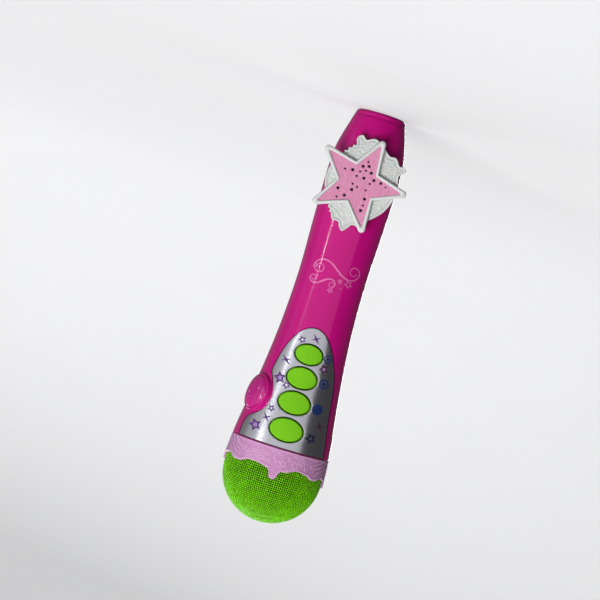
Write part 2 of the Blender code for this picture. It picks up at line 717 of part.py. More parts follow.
def add_power_bezel(parent):
    """The raised ring round the power button, standing on the handle's surface."""
    frame = power_frame()
    steps = 28
    foot, hole_foot = (
        [(a, b, surface_depth(frame, a, b, GAP)) for a, b in circle(radius, steps)]
        for radius in (BEZEL_FOOT, POWER_HOLE)
    )
    rings = [foot]
    for radius, level in ((BEZEL_RADIUS, BEZEL_FACE - 0.8), (BEZEL_RADIUS - 0.25, BEZEL_FACE - 0.2),
                          (BEZEL_RADIUS - 0.7, BEZEL_FACE), (POWER_HOLE + 0.25, BEZEL_FACE),
                          (POWER_HOLE, BEZEL_FACE - 0.25)):
        rings.append(at_level(circle(radius, steps), level))
    rings.append(hole_foot)
    add_piece("power_bezel", stacked(frame, rings, hollow=True), "magenta", parent)


def power_cap(frame):
    """A domed round cap with a hollow skirt, two retaining ears and a stem."""
    steps = 24
    rings = [[(0.0, 0.0, BEZEL_FACE + POWER_DOME)]]
    for share, dome in ((0.5, 0.77), (0.85, 0.3), (1.0, -0.1)):
        rings.append(at_level(circle(POWER_RADIUS * share, steps), BEZEL_FACE + POWER_DOME * dome))
    skirt_bottom, ceiling, stem_bottom = -4.2, 0.2, -5.0
    for radius, level in ((POWER_RADIUS, skirt_bottom), (POWER_RADIUS - 1.2, skirt_bottom),
                          (POWER_RADIUS - 1.2, ceiling), (1.8, ceiling), (1.8, stem_bottom)):
        rings.append(at_level(circle(radius, steps), level))
    rings.append([(0.0, 0.0, stem_bottom)])
    shape = stacked(frame, rings)
    ears = [prism(frame, rectangle(-4.0, low, 4.0, high), skirt_bottom + 0.02, -3.25)
            for low, high in ((6.6, 9.1), (-9.1, -6.6))]
    return join(shape, merged(ears))


def add_power_group(parent):
    frame = power_frame()
    pivot = make_empty("power_button_axis", frame.translation)
    pivot.parent = parent
    add_piece("power_button", power_cap(frame), "power_magenta", pivot)
    plunger = lathe(frame, ((0.0, -5.3), (1.3, -5.3), (1.6, -5.6), (1.6, -7.6), (0.0, -7.6)), 16)
    add_piece("switch_plunger", plunger, "black_plastic", pivot)

    body = prism(frame, rectangle(-3.0, -3.0, 3.0, 3.0), -9.6, -6.2)
    body = cut(body, prism(frame, circle(1.9, 16), -9.0, -5.0))
    add_piece("power_switch", body, "black_plastic", parent)
    board = prism(frame, rounded_polygon(rectangle(-3.6, -12.5, 3.6, 12.5), [0.8] * 4, 2), -11.0, -9.9)
    add_piece("switch_board", board, "board_green", parent)


# ---- star, lace plate and speaker --------------------------------------------------------------------

def add_lace_plate(parent):
    frame = front_frame(0.0, DRUM_HEIGHT)
    outline = LACE_OUTLINE[::-1]
    inset = grown(outline, -0.4)
    rings = [at_level(inset, PLATE_BACK), at_level(outline, PLATE_BACK + 0.4), at_level(outline, PLATE_FRONT - 0.4),
             at_level(inset, PLATE_FRONT)]
    across, up = STAR_CENTRE[0], STAR_CENTRE[1] - DRUM_HEIGHT
    opening = prism(frame, circle(SOUND_OPENING, 24, across, up), PLATE_BACK - 1.0, PLATE_FRONT + 1.0)
    add_piece("lace_plate", cut(stacked(frame, rings), opening), "white", parent)


def add_star(parent):
    frame = front_frame(*STAR_CENTRE)
    outer = star(STAR_TIP, STAR_INNER, STAR_ROUNDING, 0.8, 3)
    inset = grown(outer, -0.6)
    window = star(GRILLE_TIP, GRILLE_INNER, 0.5, 0.5, 2)
    rings = [at_level(outer, STAR_BACK), at_level(outer, STAR_FRONT - 0.8), at_level(inset, STAR_FRONT)]
    rim = cut(stacked(frame, rings), prism(frame, window, STAR_BACK - 1.0, STAR_FRONT + 1.0))
    add_piece("star_frame", rim, "white", parent)

    plate = prism(frame, grown(window, -GAP), STAR_BACK, GRILLE_FRONT)
    holes = [prism(frame, circle(radius, 6, a, b), STAR_BACK - 1.0, STAR_FRONT) for a, b, radius in SOUND_HOLES]
    add_piece("star_grille", cut(plate, merged(holes)), "pink", parent)


def add_speaker(parent):
    frame = front_frame(0.0, DRUM_HEIGHT)
    basket = ((12.2, 17.6), (14.2, 17.6), (14.2, 16.7), (12.9, 16.7), (8.6, 12.2), (8.6, 11.5), (4.0, 11.5),
              (4.0, 12.1), (8.0, 12.1), (12.3, 16.2))
    add_piece("speaker_frame", lathe(frame, basket, 20), "steel", parent)
    cone = ((0.0, 14.9), (2.2, 14.6), (4.0, 13.7), (10.4, 16.9), (11.2, 17.4), (11.8, 16.9), (11.8, 16.4),
            (11.2, 16.8), (10.6, 16.3), (4.0, 13.0), (3.0, 13.4), (0.0, 14.2))
    add_piece("speaker_cone", lathe(frame, cone, 16), "paper", parent)
    magnet = ((0.0, 11.2), (7.3, 11.2), (7.5, 11.0), (7.5, 7.7), (7.3, 7.5), (0.0, 7.5))
    add_piece("speaker_magnet", lathe(frame, magnet, 16), "steel", parent)


# ---- batteries ---------------------------------------------------------------------------------------

def cells():
    """Each cell's place across the handle and whether its plus end is up."""
    return ((-CELL_ACROSS, True), (CELL_ACROSS, False))


def add_battery_tray(parent):
    cylinder = ((0.0, TRAY_LOW), (TRAY_RADIUS, TRAY_LOW), (TRAY_RADIUS, TRAY_HIGH), (0.0, TRAY_HIGH))
    half, wall = TRAY_HALF_WIDTH, TRAY_WALL
    shape = combine(
        turned(cylinder, steps=24),
        box((-half, -0.7, TRAY_LOW - 1.0), (half, 20.0, TRAY_HIGH + 1.0)),
        "INTERSECT",
    )
    post = prism(rear_frame(0.0, DOOR_SCREW_HEIGHT), circle(2.8, 12), -0.5, 13.2)
    hole = prism(rear_frame(0.0, DOOR_SCREW_HEIGHT), circle(SCREW_HOLE, 8), 5.0, 15.0)
    slots = [box((x - 2.4, -2.0, TRAY_LOW + wall), (x + 2.4, 1.0, TRAY_LOW + wall + 1.2)) for x, _ in cells()]
    shape = cut(
        join(shape, post),
        box((wall - half, 0.3, TRAY_LOW + wall), (half - wall, 21.0, TRAY_HIGH - wall)),
        hole,
        merged(slots),
    )
    add_piece("battery_tray", shape, "white", parent)


def coil(across, low, high, radius, wire, turns):
    """A coil contact: a round wire wound up the Z axis at a cell's place."""
    shape = bmesh.new()
    per_turn, sides = 8, 4
    count = int(per_turn * turns)
    centre = Vector((across, CELL_BACK, 0.0))
    rings = []
    for i in range(count + 1):
        share = i / count
        reach = radius * (1.0 - 0.3 * share)
        turn = 2 * math.pi * i / per_turn
        outward = Vector((math.cos(turn), math.sin(turn), 0.0))
        middle = centre + outward * reach + Vector((0.0, 0.0, low + wire + (high - low - 2 * wire) * share))
        ring = []
        for k in range(sides):
            side = 2 * math.pi * k / sides
            ring.append(shape.verts.new(middle + (outward * math.cos(side) + Vector((0, 0, math.sin(side)))) * wire))
        rings.append(ring)
    for here, following in zip(rings, rings[1:]):
        for k in range(sides):
            m = (k + 1) % sides
            shape.faces.new((here[k], here[m], following[m], following[k]))
    shape.faces.new(rings[0])
    shape.faces.new(rings[-1])
    bmesh.ops.recalc_face_normals(shape, faces=shape.faces)
    return shape


def add_cells(parent):
    """Cells, with their nub up or down, between flat and coil contacts."""
    low_plate = TRAY_LOW + TRAY_WALL + GAP
    plate_top = low_plate + 0.4
    bridge_low = TRAY_HIGH - TRAY_WALL - GAP - 0.4
    for number, (across, plus_up) in enumerate(cells(), 1):
        nub_end = bridge_low - GAP if plus_up else plate_top + GAP
        away = -1.0 if plus_up else 1.0
        levels = ((0.0, 0.0), (1.9, 0.0), (1.9, 0.9), (4.7, 0.9), (CELL_RADIUS, 1.3),
                  (CELL_RADIUS, CELL_LENGTH - 0.3), (CELL_RADIUS - 0.3, CELL_LENGTH), (0.0, CELL_LENGTH))
        section = [(radius, nub_end + away * level) for radius, level in levels]
        shape = turned(section, steps=20)
        bmesh.ops.translate(shape, verts=shape.verts, vec=(across, CELL_BACK, 0.0))
        add_piece(f"cell_{number}", shape, "cell_wrap", parent)

        flat_end = nub_end + away * CELL_LENGTH
        if plus_up:
            spring = coil(across, plate_top + GAP, flat_end - GAP, 3.4, 0.3, 3)
        else:
            spring = coil(across, flat_end + GAP, bridge_low - GAP, 3.4, 0.3, 3)
        add_piece(f"contact_spring_{number}", spring, "steel", parent)

        plate = join(
            box((across - 4.2, 1.0, low_plate), (across + 4.2, 9.6, plate_top)),
            box((across - 1.8, -1.6, low_plate), (across + 1.8, 1.4, plate_top)),
        )
        add_piece("contact_minus" if plus_up else "contact_plus", plate, "steel", parent)
    bridge = box((-9.6, 1.2, bridge_low), (9.6, 9.6, bridge_low + 0.4))
    add_piece("contact_bridge", bridge, "steel", parent)


def add_battery_door(parent):
    """The door in the handle's back, with the captive screw that rides in it."""
    pivot = make_empty("battery_door_axis", (0.0, 0.0, DOOR_LOW))
    pivot.parent = parent
    place = rear_frame(0.0, DOOR_SCREW_HEIGHT)
    shape = body_wall(-WALL, 0.0, DOOR_LOW, DOOR_HIGH, 180.0, DOOR_HALF_ANGLE, 10, 6)
    shape = join(shape, prism(place, circle(3.0, 12), 14.1, 16.4))
    steps = ((SCREW_HOLE, 10.0), (SCREW_HOLE, DOOR_SCREW_FLOOR), (SCREW_HEAD + 0.3, DOOR_SCREW_FLOOR),
             (SCREW_HEAD + 0.3, 30.0))
    well = stacked(place, [at_level(circle(radius, 12), level) for radius, level in steps])
    grip = [prism(rear_frame(0.0, z), rounded_polygon(rectangle(-4.0, -0.5, 4.0, 0.5), [0.45] * 4, 2), 16.2, 30.0)
            for z in (61.5, 63.5, 65.5)]
    add_piece("battery_door", cut(shape, well, merged(grip)), "magenta", pivot)
    head = DOOR_SCREW_FLOOR + GAP
    section = ((0.0, head + 1.2), (SCREW_HEAD * 0.7, head + 1.2), (SCREW_HEAD, head + 0.8), (SCREW_HEAD, head),
               (SCREW_SHANK, head), (SCREW_SHANK, 8.0), (0.0, 7.0))
    add_piece("door_screw", lathe(place, section, 8), "steel", pivot)


# ---- head --------------------------------------------------------------------------------------------

def add_collar(parent):
    """A ring round the mesh's foot whose upper edge waves and drips."""
    steps = 72
    shares = (0.0, 0.5, 1.0)
    shape = bmesh.new()
    columns = []
    for i in range(steps):
        angle = 360.0 * i / steps
        top = collar_edge(angle)
        heights = [COLLAR_BOTTOM + (top - COLLAR_BOTTOM) * share for share in shares]
        outer = [(24.5 + 0.9 * min((z - COLLAR_BOTTOM) / 12.0, 1.0), z) for z in heights]
        inner = [(max(head_radius_at(z) + COLLAR_CLEARANCE, HEAD_PLATE_RADIUS + GAP), z) for z in reversed(heights)]
        columns.append([shape.verts.new(on_ring(angle, radius, z)) for radius, z in outer + inner])
    for i in range(steps):
        here, following = columns[i], columns[(i + 1) % steps]
        for j in range(len(here)):
            k = (j + 1) % len(here)
            shape.faces.new((here[j], following[j], following[k], here[k]))
    bmesh.ops.recalc_face_normals(shape, faces=shape.faces)
    add_piece("collar", shape, "lilac", parent)


def dome_arc(radius, bottom, count):
    """(radius, height) points up a sphere round the head's centre, from a height to its top."""
    start = math.asin((bottom - HEAD_CENTRE) / radius)
    turns = spread(start, math.pi / 2, count)
    points = [(radius * math.cos(t), HEAD_CENTRE + radius * math.sin(t)) for t in turns]
    points[-1] = (0.0, HEAD_CENTRE + radius)
    return points


def add_head(parent):
    outer = dome_arc(HEAD_RADIUS, MESH_BOTTOM, 9)
    inner = dome_arc(HEAD_RADIUS - MESH_THICKNESS, MESH_BOTTOM, 9)
    add_piece("mesh_grille", turned(outer + inner[::-1], steps=30), "mesh_green", parent)
    foam = dome_arc(HEAD_RADIUS - MESH_THICKNESS - 0.5, 173.2, 7)
    add_piece("grille_foam", turned(foam + [(0.0, 182.5), (6.8, 182.5), (6.8, 173.2)], steps=20), "foam", parent)

    spigot = body_radius(164.0) - WALL - GAP - 0.1
    plate = (
        (3.0, HEAD_PLATE_TOP), (HEAD_PLATE_RADIUS, HEAD_PLATE_TOP), (HEAD_PLATE_RADIUS, COLLAR_BOTTOM),
        (spigot, COLLAR_BOTTOM), (spigot, 166.3), (spigot - 1.5, 166.3), (spigot - 1.5, 168.8), (3.0, 168.8),
    )
    add_piece("head_plate", turned(plate, steps=24), "white", parent)
    boot_low = HEAD_PLATE_TOP + GAP
    boot = ((1.5, boot_low), (6.2, boot_low), (6.2, 179.6), (5.2, 180.0), (5.2, boot_low + 1.5), (1.5, boot_low + 1.5))
    add_piece("mic_boot", turned(boot, steps=16), "rubber", parent)
    capsule_low = boot_low + 1.8
    capsule = ((0.0, capsule_low), (4.9, capsule_low), (4.9, capsule_low + 6.3), (4.5, capsule_low + 6.7),
               (0.0, capsule_low + 6.7))
    add_piece("mic_capsule", turned(capsule, steps=16), "aluminium", parent)


# ---- leads -------------------------------------------------------------------------------------------

def add_leads(parent):
    """Internal leads; each one ends just short of what it is soldered to."""
    contact = TRAY_LOW + TRAY_WALL + GAP + 0.2
    add_lead("battery_lead_red", [
        (CELL_ACROSS, -2.6, contact), (CELL_ACROSS, -3.6, contact + 1.6), (4.6, -4.0, 66.0), (4.2, -4.2, 88.0),
        (4.0, -4.4, 104.0), (4.0, -5.0, 112.0), (4.0, -6.2, 115.0),
    ], 0.6, "red_wire", parent)
    add_lead("battery_lead_black", [
        (-CELL_ACROSS, -2.6, contact), (-CELL_ACROSS, -3.6, contact + 1.6), (-4.6, -4.0, 66.0),
        (-4.2, -4.2, 88.0), (-4.0, -4.4, 104.0), (-4.0, -5.0, 112.0), (-4.0, -6.2, 115.0),
    ], 0.6, "black_wire", parent)
    add_lead("speaker_lead", [
        (8.6, -9.6, 37.0), (9.2, -6.4, 40.0), (9.0, -2.8, 45.0), (8.6, -2.4, 54.0), (8.2, -3.4, 66.0),
        (7.8, -4.4, 86.0), (7.4, -4.9, 104.0), (7.4, -5.4, 112.0), (7.4, -6.2, 115.5),
    ], 0.8, "grey_wire", parent)
    add_lead("mic_lead", [
        (0.0, 0.0, 172.3), (0.0, 0.0, 169.0), (0.0, -1.6, 164.5), (0.4, -6.4, 160.6), (0.8, -10.6, 158.5),
        (1.0, -11.7, 158.0),
    ], 0.7, "grey_wire", parent)
    add_lead("switch_lead", [
        (7.1, -4.5, 136.6), (6.2, -4.0, 136.9), (4.9, -4.6, 137.4), (4.8, -6.8, 137.9), (5.2, -8.6, 138.2),
    ], 0.5, "grey_wire", parent)


def build():
    clear_scene()
    root = make_empty("microphone")
    add_end_cap(root)
    add_front_shell(root)
    add_rear_shell(root)
    add_shell_screws(root)
    add_control_panel(root)
    add_effect_buttons(root)
    add_keypad(root)
    add_main_board(root)
    add_power_bezel(root)
    add_power_group(root)
    add_lace_plate(root)
    add_star(root)
    add_speaker(root)
    add_battery_tray(root)
    add_cells(root)
    add_battery_door(root)
    add_collar(root)
    add_head(root)
    add_leads(root)
    bpy.context.view_layer.update()


build()
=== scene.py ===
"""The looks of a toy microphone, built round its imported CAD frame.

Shapes are worked out in millimetres and MM turns them into metres. The microphone stands on its butt
end: +Z runs up to the mesh head, and the control panel and the star face -Y. Angles round the body are
in degrees, counted from the front towards +X.
"""
import json
import math

import bmesh
import bpy
import numpy as np
from mathutils import Matrix, Vector, geometry, noise


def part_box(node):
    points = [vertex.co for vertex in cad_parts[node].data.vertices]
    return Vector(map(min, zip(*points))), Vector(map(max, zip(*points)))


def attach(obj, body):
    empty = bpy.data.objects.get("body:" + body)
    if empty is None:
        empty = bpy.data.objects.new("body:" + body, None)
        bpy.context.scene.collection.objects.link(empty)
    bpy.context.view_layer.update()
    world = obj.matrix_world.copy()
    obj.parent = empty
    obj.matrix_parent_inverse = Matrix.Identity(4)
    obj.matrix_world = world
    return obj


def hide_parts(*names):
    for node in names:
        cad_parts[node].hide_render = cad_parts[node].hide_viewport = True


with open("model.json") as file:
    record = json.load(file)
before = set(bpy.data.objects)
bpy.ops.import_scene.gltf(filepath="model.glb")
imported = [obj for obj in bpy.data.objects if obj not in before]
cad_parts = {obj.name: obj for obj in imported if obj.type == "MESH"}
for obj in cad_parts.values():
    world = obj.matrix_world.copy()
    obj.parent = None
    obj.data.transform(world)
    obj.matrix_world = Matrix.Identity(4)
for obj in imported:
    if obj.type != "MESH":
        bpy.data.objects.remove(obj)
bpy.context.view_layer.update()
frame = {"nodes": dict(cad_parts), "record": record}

MM = 0.001
TINY = 1e-6
BODY = "handle"


def box(node):
    """Lowest and highest corner of a CAD node, in millimetres."""
    low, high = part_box(node)
    return low / MM, high / MM


# ---- driving dimensions, repeated from the design or read from the frame ------------------------------

# the handle's outer profile: (height, radius)
BODY_KNOTS = (
    (3.0, 12.85), (8.5, 14.35), (14.6, 15.95), (20.0, 17.1), (25.0, 17.6), (36.0, 17.7), (58.0, 17.25),
    (83.0, 16.6), (107.0, 17.4), (127.0, 19.1), (146.0, 21.4), (160.0, 23.45), (168.0, 24.35),
)
WALL = 2.4
GAP = 0.3
SHELL_BOTTOM, SHELL_TOP = box("front_shell")[0].z, box("front_shell")[1].z
HEAD_RADIUS = box("mesh_grille")[1].y
HEAD_CENTRE = box("mesh_grille")[1].z - HEAD_RADIUS
MESH_BOTTOM = box("mesh_grille")[0].z
COLLAR_BOTTOM = box("collar")[0].z
COLLAR_RADIUS = box("collar")[1].y
COLLAR_FOOT = 24.5
COLLAR_EDGE = 177.3
# waves of the collar's upper edge: (angle, half width in degrees, height)
COLLAR_WAVES = (
    (-2, 17, 1.2), (0, 5.5, 4.5), (49, 12, 1.9), (92, 15, 1.3), (97, 5.5, 3.6), (136, 11, 1.8),
    (180, 17, 1.3), (186, 5.5, 4.4), (229, 12, 1.9), (-86, 15, 1.3), (-91, 5.5, 3.8), (-52, 9, 1.6),
    (-27, 8, -0.8),
)

PANEL_THICKNESS, RECESS_DEPTH, PANEL_TOP = 1.0, 1.3, 168.0
# the panel's edge seen from the front: its far side and tip, then the bite round the power button
PANEL_SIDE = (
    (-21.1, 167.6), (-20.0, 160.0), (-18.6, 152.0), (-17.4, 143.3), (-16.5, 136.0), (-15.0, 129.0),
    (-13.1, 123.6), (-11.2, 119.0), (-9.3, 115.7), (-6.6, 111.8), (-3.4, 109.4), (0.0, 108.4), (3.2, 109.0),
    (5.4, 110.3), (7.6, 112.3), (10.3, 116.7), (12.2, 121.4), (13.5, 126.1), (14.4, 130.4), (14.8, 132.8),
)
PANEL_BITE = (
    (14.8, 132.8), (14.7, 134.0), (14.1, 135.6), (13.2, 137.6), (12.2, 141.0), (11.9, 145.0), (12.4, 149.2),
    (14.0, 152.8), (16.4, 155.2), (18.8, 157.2), (20.2, 160.0), (20.9, 163.5), (21.1, 167.6),
)
# effect buttons: (height, half width, half height)
BUTTONS = ((158.7, 8.0, 5.35), (145.4, 7.7, 5.2), (133.1, 7.2, 4.95), (121.4, 6.6, 4.6))
BUTTON_TILT, BUTTON_LIFT = 6.8, 1.1
KEY_PLANE_POINT = Vector((0.0, -13.7, 121.4))
PANEL_HOLE_GROWTH, SHELL_HOLE_GROWTH = 0.6, 0.8

POWER_ANGLE, POWER_HEIGHT, POWER_TILT = 58.0, 146.0, 7.5
POWER_HOLE = 8.0
# the bezel flares from its foot to a face counted from the handle's surface at its centre
BEZEL_FOOT, BEZEL_RADIUS, BEZEL_FACE = 8.7, 9.3, 1.8
# a higher power flattens the dome's top and steepens its side
DOME_FLATNESS = 3.2
POWER_DOME = 1.8

STAR_CENTRE = (1.5, 36.3)
DRUM_HEIGHT = 36.2
STAR_TIP, STAR_INNER, STAR_ROUNDING = 27.6, 10.6, 1.8
GRILLE_TIP, GRILLE_INNER = 21.4, 8.9
STAR_TURN = 3.0
PLATE_BACK, PLATE_FRONT = -box("lace_plate")[1].y, -box("lace_plate")[0].y
STAR_BACK, STAR_FRONT = -box("star_frame")[1].y, -box("star_frame")[0].y
GRILLE_FRONT = -box("star_grille")[0].y
DRUM_RADIUS, DRUM_BORE, DRUM_FRONT = 16.9, 14.6, 17.9
SOUND_OPENING = 8.6
# outline of the lace plate, from its axis
LACE_OUTLINE = (
    (-5.6, 18.6), (-4.3, 19.9), (-1.4, 19.9), (0.3, 22.0), (2.4, 24.0), (4.4, 22.2), (5.4, 20.2),
    (8.4, 20.0), (9.5, 18.4), (9.8, 17.1), (10.9, 16.7), (10.9, 15.3), (12.0, 14.8), (12.2, 13.2),
    (13.8, 10.9), (16.4, 5.9), (17.4, 0.6), (16.6, -5.2), (14.6, -9.8), (13.9, -11.4), (12.4, -12.3),
    (12.3, -13.5), (10.9, -14.0), (10.7, -15.4), (9.3, -15.9), (9.1, -17.1), (7.6, -17.6), (8.3, -20.3),
    (7.5, -22.2), (5.6, -22.9), (3.6, -21.3), (1.2, -22.5), (-1.0, -22.8), (-3.2, -21.5), (-5.6, -20.0),
    (-7.4, -18.4), (-9.4, -16.9), (-12.2, -17.0), (-13.8, -15.6), (-15.2, -13.6), (-17.5, -13.7),
    (-18.6, -12.0), (-17.4, -10.2), (-16.2, -8.6), (-16.9, -5.0), (-17.4, 0.0), (-16.3, 5.2),
    (-13.9, 10.0), (-10.6, 13.6), (-8.0, 15.8),
)
# sound holes of the star grille, from its centre: (across, up, radius)
SOUND_HOLES = (
    (-4.9, 12.0, 0.75), (-5.1, 6.2, 0.75), (4.7, 7.2, 0.75), (8.6, 4.7, 0.75), (2.1, 3.6, 0.75),
    (-10.4, -3.2, 0.7), (-6.8, -3.6, 0.75), (-1.9, -3.3, 0.75), (4.4, -5.6, 0.75), (-4.6, -6.6, 0.75),
    (-2.7, -9.4, 0.75), (0.1, -8.6, 0.75), (-5.2, 9.3, 0.5), (8.0, 8.9, 0.5), (-4.4, 2.0, 0.5),
    (0.0, 1.7, 0.5), (2.4, 0.8, 0.5), (-5.4, -1.5, 0.5), (1.7, -3.3, 0.5), (-13.0, -2.1, 0.4),
    (8.0, -5.1, 0.5), (0.7, -5.9, 0.5), (-1.8, -7.0, 0.5), (-1.8, -11.3, 0.5),
)

SHELL_SCREWS = ((0.0, 13.0), (0.0, 53.0), (-12.5, 120.0), (12.5, 120.0), (-17.0, 161.2), (17.0, 161.2))
SCREW_FLOOR, SCREW_HEAD, SCREW_SHANK, SCREW_HOLE = 6.0, 2.1, 1.0, 1.3
TOWER_RADIUS = 3.3
DOOR_LOW, DOOR_HIGH, DOOR_HALF_ANGLE = 57.5, 113.5, 46.0
DOOR_SCREW_HEIGHT, DOOR_SCREW_FLOOR = 110.2, 15.2
GRIP_HEIGHTS = (61.5, 63.5, 65.5)


# ---- formulas ----------------------------------------------------------------------------------------

def smooth_value(knots, at):
    """The value at `at` on a smooth curve through (position, value) knots, straight past its ends."""
    slopes = []
    for i in range(len(knots)):
        before, after = knots[max(i - 1, 0)], knots[min(i + 1, len(knots) - 1)]
        slopes.append((after[1] - before[1]) / (after[0] - before[0]))
    if at <= knots[0][0]:
        return knots[0][1] + slopes[0] * (at - knots[0][0])
    if at >= knots[-1][0]:
        return knots[-1][1] + slopes[-1] * (at - knots[-1][0])
    i = max(k for k in range(len(knots) - 1) if knots[k][0] <= at)
    span = knots[i + 1][0] - knots[i][0]
    t = (at - knots[i][0]) / span
    return (
        knots[i][1] * (2 * t**3 - 3 * t**2 + 1)
        + slopes[i] * span * (t**3 - 2 * t**2 + t)
        + knots[i + 1][1] * (3 * t**2 - 2 * t**3)
        + slopes[i + 1] * span * (t**3 - t**2)
    )


def body_radius(height):
    return smooth_value(BODY_KNOTS, height)


def collar_edge(angle):
    """Height of the collar's wavy upper edge at an angle round the body."""
    height = COLLAR_EDGE
    for centre, half_width, rise in COLLAR_WAVES:
        off = (angle - centre + 180.0) % 360.0 - 180.0
        height += rise * math.exp(-((off / half_width) ** 4))
    return height


def spread(low, high, count):
    return [low + (high - low) * i / (count - 1) for i in range(count)]


def clamp(value):
    return min(max(value, 0.0), 1.0)


def ease(value):
    """0 to 1 with a soft start and end."""
    value = clamp(value)
    return value * value * (3.0 - 2.0 * value)


def on_ring(angle, radius, height):
    turn = math.radians(angle)
    return Vector((radius * math.sin(turn), -radius * math.cos(turn), height))


def face_frame(angle, tilt, centre):
    """Frame on the body's side: across, up and out, with `out` tilted down by `tilt` degrees."""
    turn, lean = math.radians(angle), math.radians(tilt)
    across = Vector((math.cos(turn), math.sin(turn), 0.0))
    out = Vector((math.sin(turn) * math.cos(lean), -math.cos(turn) * math.cos(lean), -math.sin(lean)))
    up = out.cross(across)
    result = Matrix((across, up, out)).transposed().to_4x4()
    result.translation = centre
    return result


def front_frame(across=0.0, height=0.0):
    """Frame facing -Y whose third axis counts from the handle's own axis."""
    return face_frame(0.0, 0.0, Vector((across, 0.0, height)))


def rear_frame(across, height):
    """Frame facing +Y; its first axis points to -X."""
    return face_frame(180.0, 0.0, Vector((across, 0.0, height)))


def button_frame(height):
    return face_frame(0.0, BUTTON_TILT, Vector((0.0, -body_radius(height), height)))


def power_frame():
    centre = on_ring(POWER_ANGLE, body_radius(POWER_HEIGHT), POWER_HEIGHT)
    return face_frame(POWER_ANGLE, POWER_TILT, centre)


def surface_depth(place, across, up, lift):
    """How far along a frame's third axis the point (across, up) meets the body lifted by `lift`."""
    low, high, halvings = -15.0, 15.0, 30
    for _ in range(halvings):
        middle = (low + high) / 2
        point = place @ Vector((across, up, middle))
        inside = math.hypot(point.x, point.y) < body_radius(point.z) + lift
        low, high = (middle, high) if inside else (low, middle)
    return low


def on_front(across, height, lift):
    """The point of the body's front, lifted by `lift`, that is seen at (across, height)."""
    radius = body_radius(height) + lift
    return Vector((across, -math.sqrt(max(radius**2 - across**2, 0.0)), height))


def ellipse(half_width, half_height, steps, across=0.0, up=0.0):
    turns = [2 * math.pi * i / steps for i in range(steps)]
    return [(across + half_width * math.cos(t), up + half_height * math.sin(t)) for t in turns]


def circle(radius, steps, across=0.0, up=0.0):
    return ellipse(radius, radius, steps, across, up)


def rectangle(left, bottom, right, top):
    return [(left, bottom), (right, bottom), (right, top), (left, top)]


def smooth_line(points, per_span, closed=False):
    """Points of a Catmull-Rom curve through the given points."""
    points = [Vector(p) for p in points]
    count = len(points)
    result = []
    for i in range(count if closed else count - 1):
        if closed:
            p0, p1, p2, p3 = (points[(i + k) % count] for k in (-1, 0, 1, 2))
        else:
            p0, p1, p2, p3 = (points[min(max(i + k, 0), count - 1)] for k in (-1, 0, 1, 2))
        for step in range(per_span):
            t = step / per_span
            bend = 2 * p0 - 5 * p1 + 4 * p2 - p3
            twist = 3 * p1 - p0 - 3 * p2 + p3
            result.append((2 * p1 + (p2 - p0) * t + bend * t**2 + twist * t**3) / 2)
    if not closed:
        result.append(points[-1])
    return result


def rounded_polygon(corners, roundings, steps):
    """A polygon whose corners are arcs of the given radii."""
    corners = [Vector(c) for c in corners]
    result = []
    for i, (corner, radius) in enumerate(zip(corners, roundings)):
        to_last = (corners[i - 1] - corner).normalized()
        to_next = (corners[(i + 1) % len(corners)] - corner).normalized()
        half = to_last.angle(to_next) / 2
        centre = corner + (to_last + to_next).normalized() * (radius / math.sin(half))
        start = corner + to_last * (radius / math.tan(half)) - centre
        finish = corner + to_next * (radius / math.tan(half)) - centre
        sweep = start.angle_signed(finish)
        for step in range(steps + 1):
            turned_start = start.copy()
            turned_start.rotate(Matrix.Rotation(-sweep * step / steps, 2))
            result.append(tuple(centre + turned_start))
    return result


def star_corners(tip, inner, turn):
    """Corners of a five-pointed star, tip first, anticlockwise."""
    corners = []
    for i in range(10):
        at = math.radians(turn + 36.0 * i)
        reach = inner if i % 2 else tip
        corners.append((reach * math.cos(at), reach * math.sin(at)))
    return corners


def star(tip, inner, tip_rounding, inner_rounding):
    """Outline of the speaker's five-pointed star with rounded tips and corners."""
    roundings = [tip_rounding, inner_rounding] * 5
    return rounded_polygon(star_corners(tip, inner, 36.0 + STAR_TURN), roundings, 10)


def grown(outline, distance):
    """The outline moved outwards by a distance; it runs anticlockwise."""
    points = [Vector(p) for p in outline]
    result = []
    for i, point in enumerate(points):
        ahead = (points[(i + 1) % len(points)] - point).normalized()
        behind = (point - points[i - 1]).normalized()
        along = (ahead + behind).normalized()
        result.append((point.x + along.y * distance, point.y - along.x * distance))
    return result


def resampled(outline, spacing):
    """The closed outline with points no further apart than the spacing."""
    result = []
    for i, point in enumerate(outline):
        following = outline[(i + 1) % len(outline)]
        length = math.dist(point, following)
        count = max(int(math.ceil(length / spacing)), 1)
        for step in range(count):
            t = step / count
            result.append(tuple(a + (b - a) * t for a, b in zip(point, following)))
    return result


def inside(points, outline):
    """For an array of 2D points, whether each one lies inside the closed outline."""
    x, y = points[:, 0], points[:, 1]
    result = np.zeros(len(points), bool)
    for i, (x1, y1) in enumerate(outline):
        x2, y2 = outline[i - 1]
        crosses = (y1 > y) != (y2 > y)
        with np.errstate(divide="ignore", invalid="ignore"):
            result ^= crosses & (x < (x2 - x1) * (y - y1) / (y2 - y1) + x1)
    return result


def distances(points, others):
    """For an array of 2D points, the distance of each one to the nearest of the others."""
    return np.sqrt(((points[:, None, :] - others[None, :, :]) ** 2).sum(2)).min(1)


# ---- mesh builders -----------------------------------------------------------------------------------

def facing_out(shape):
    """The shape with all its faces turned outwards."""
    bmesh.ops.recalc_face_normals(shape, faces=shape.faces)
    return shape


def without_repeats(corners):
    result = []
    for corner in corners:
        if corner not in result:
            result.append(corner)
    return result


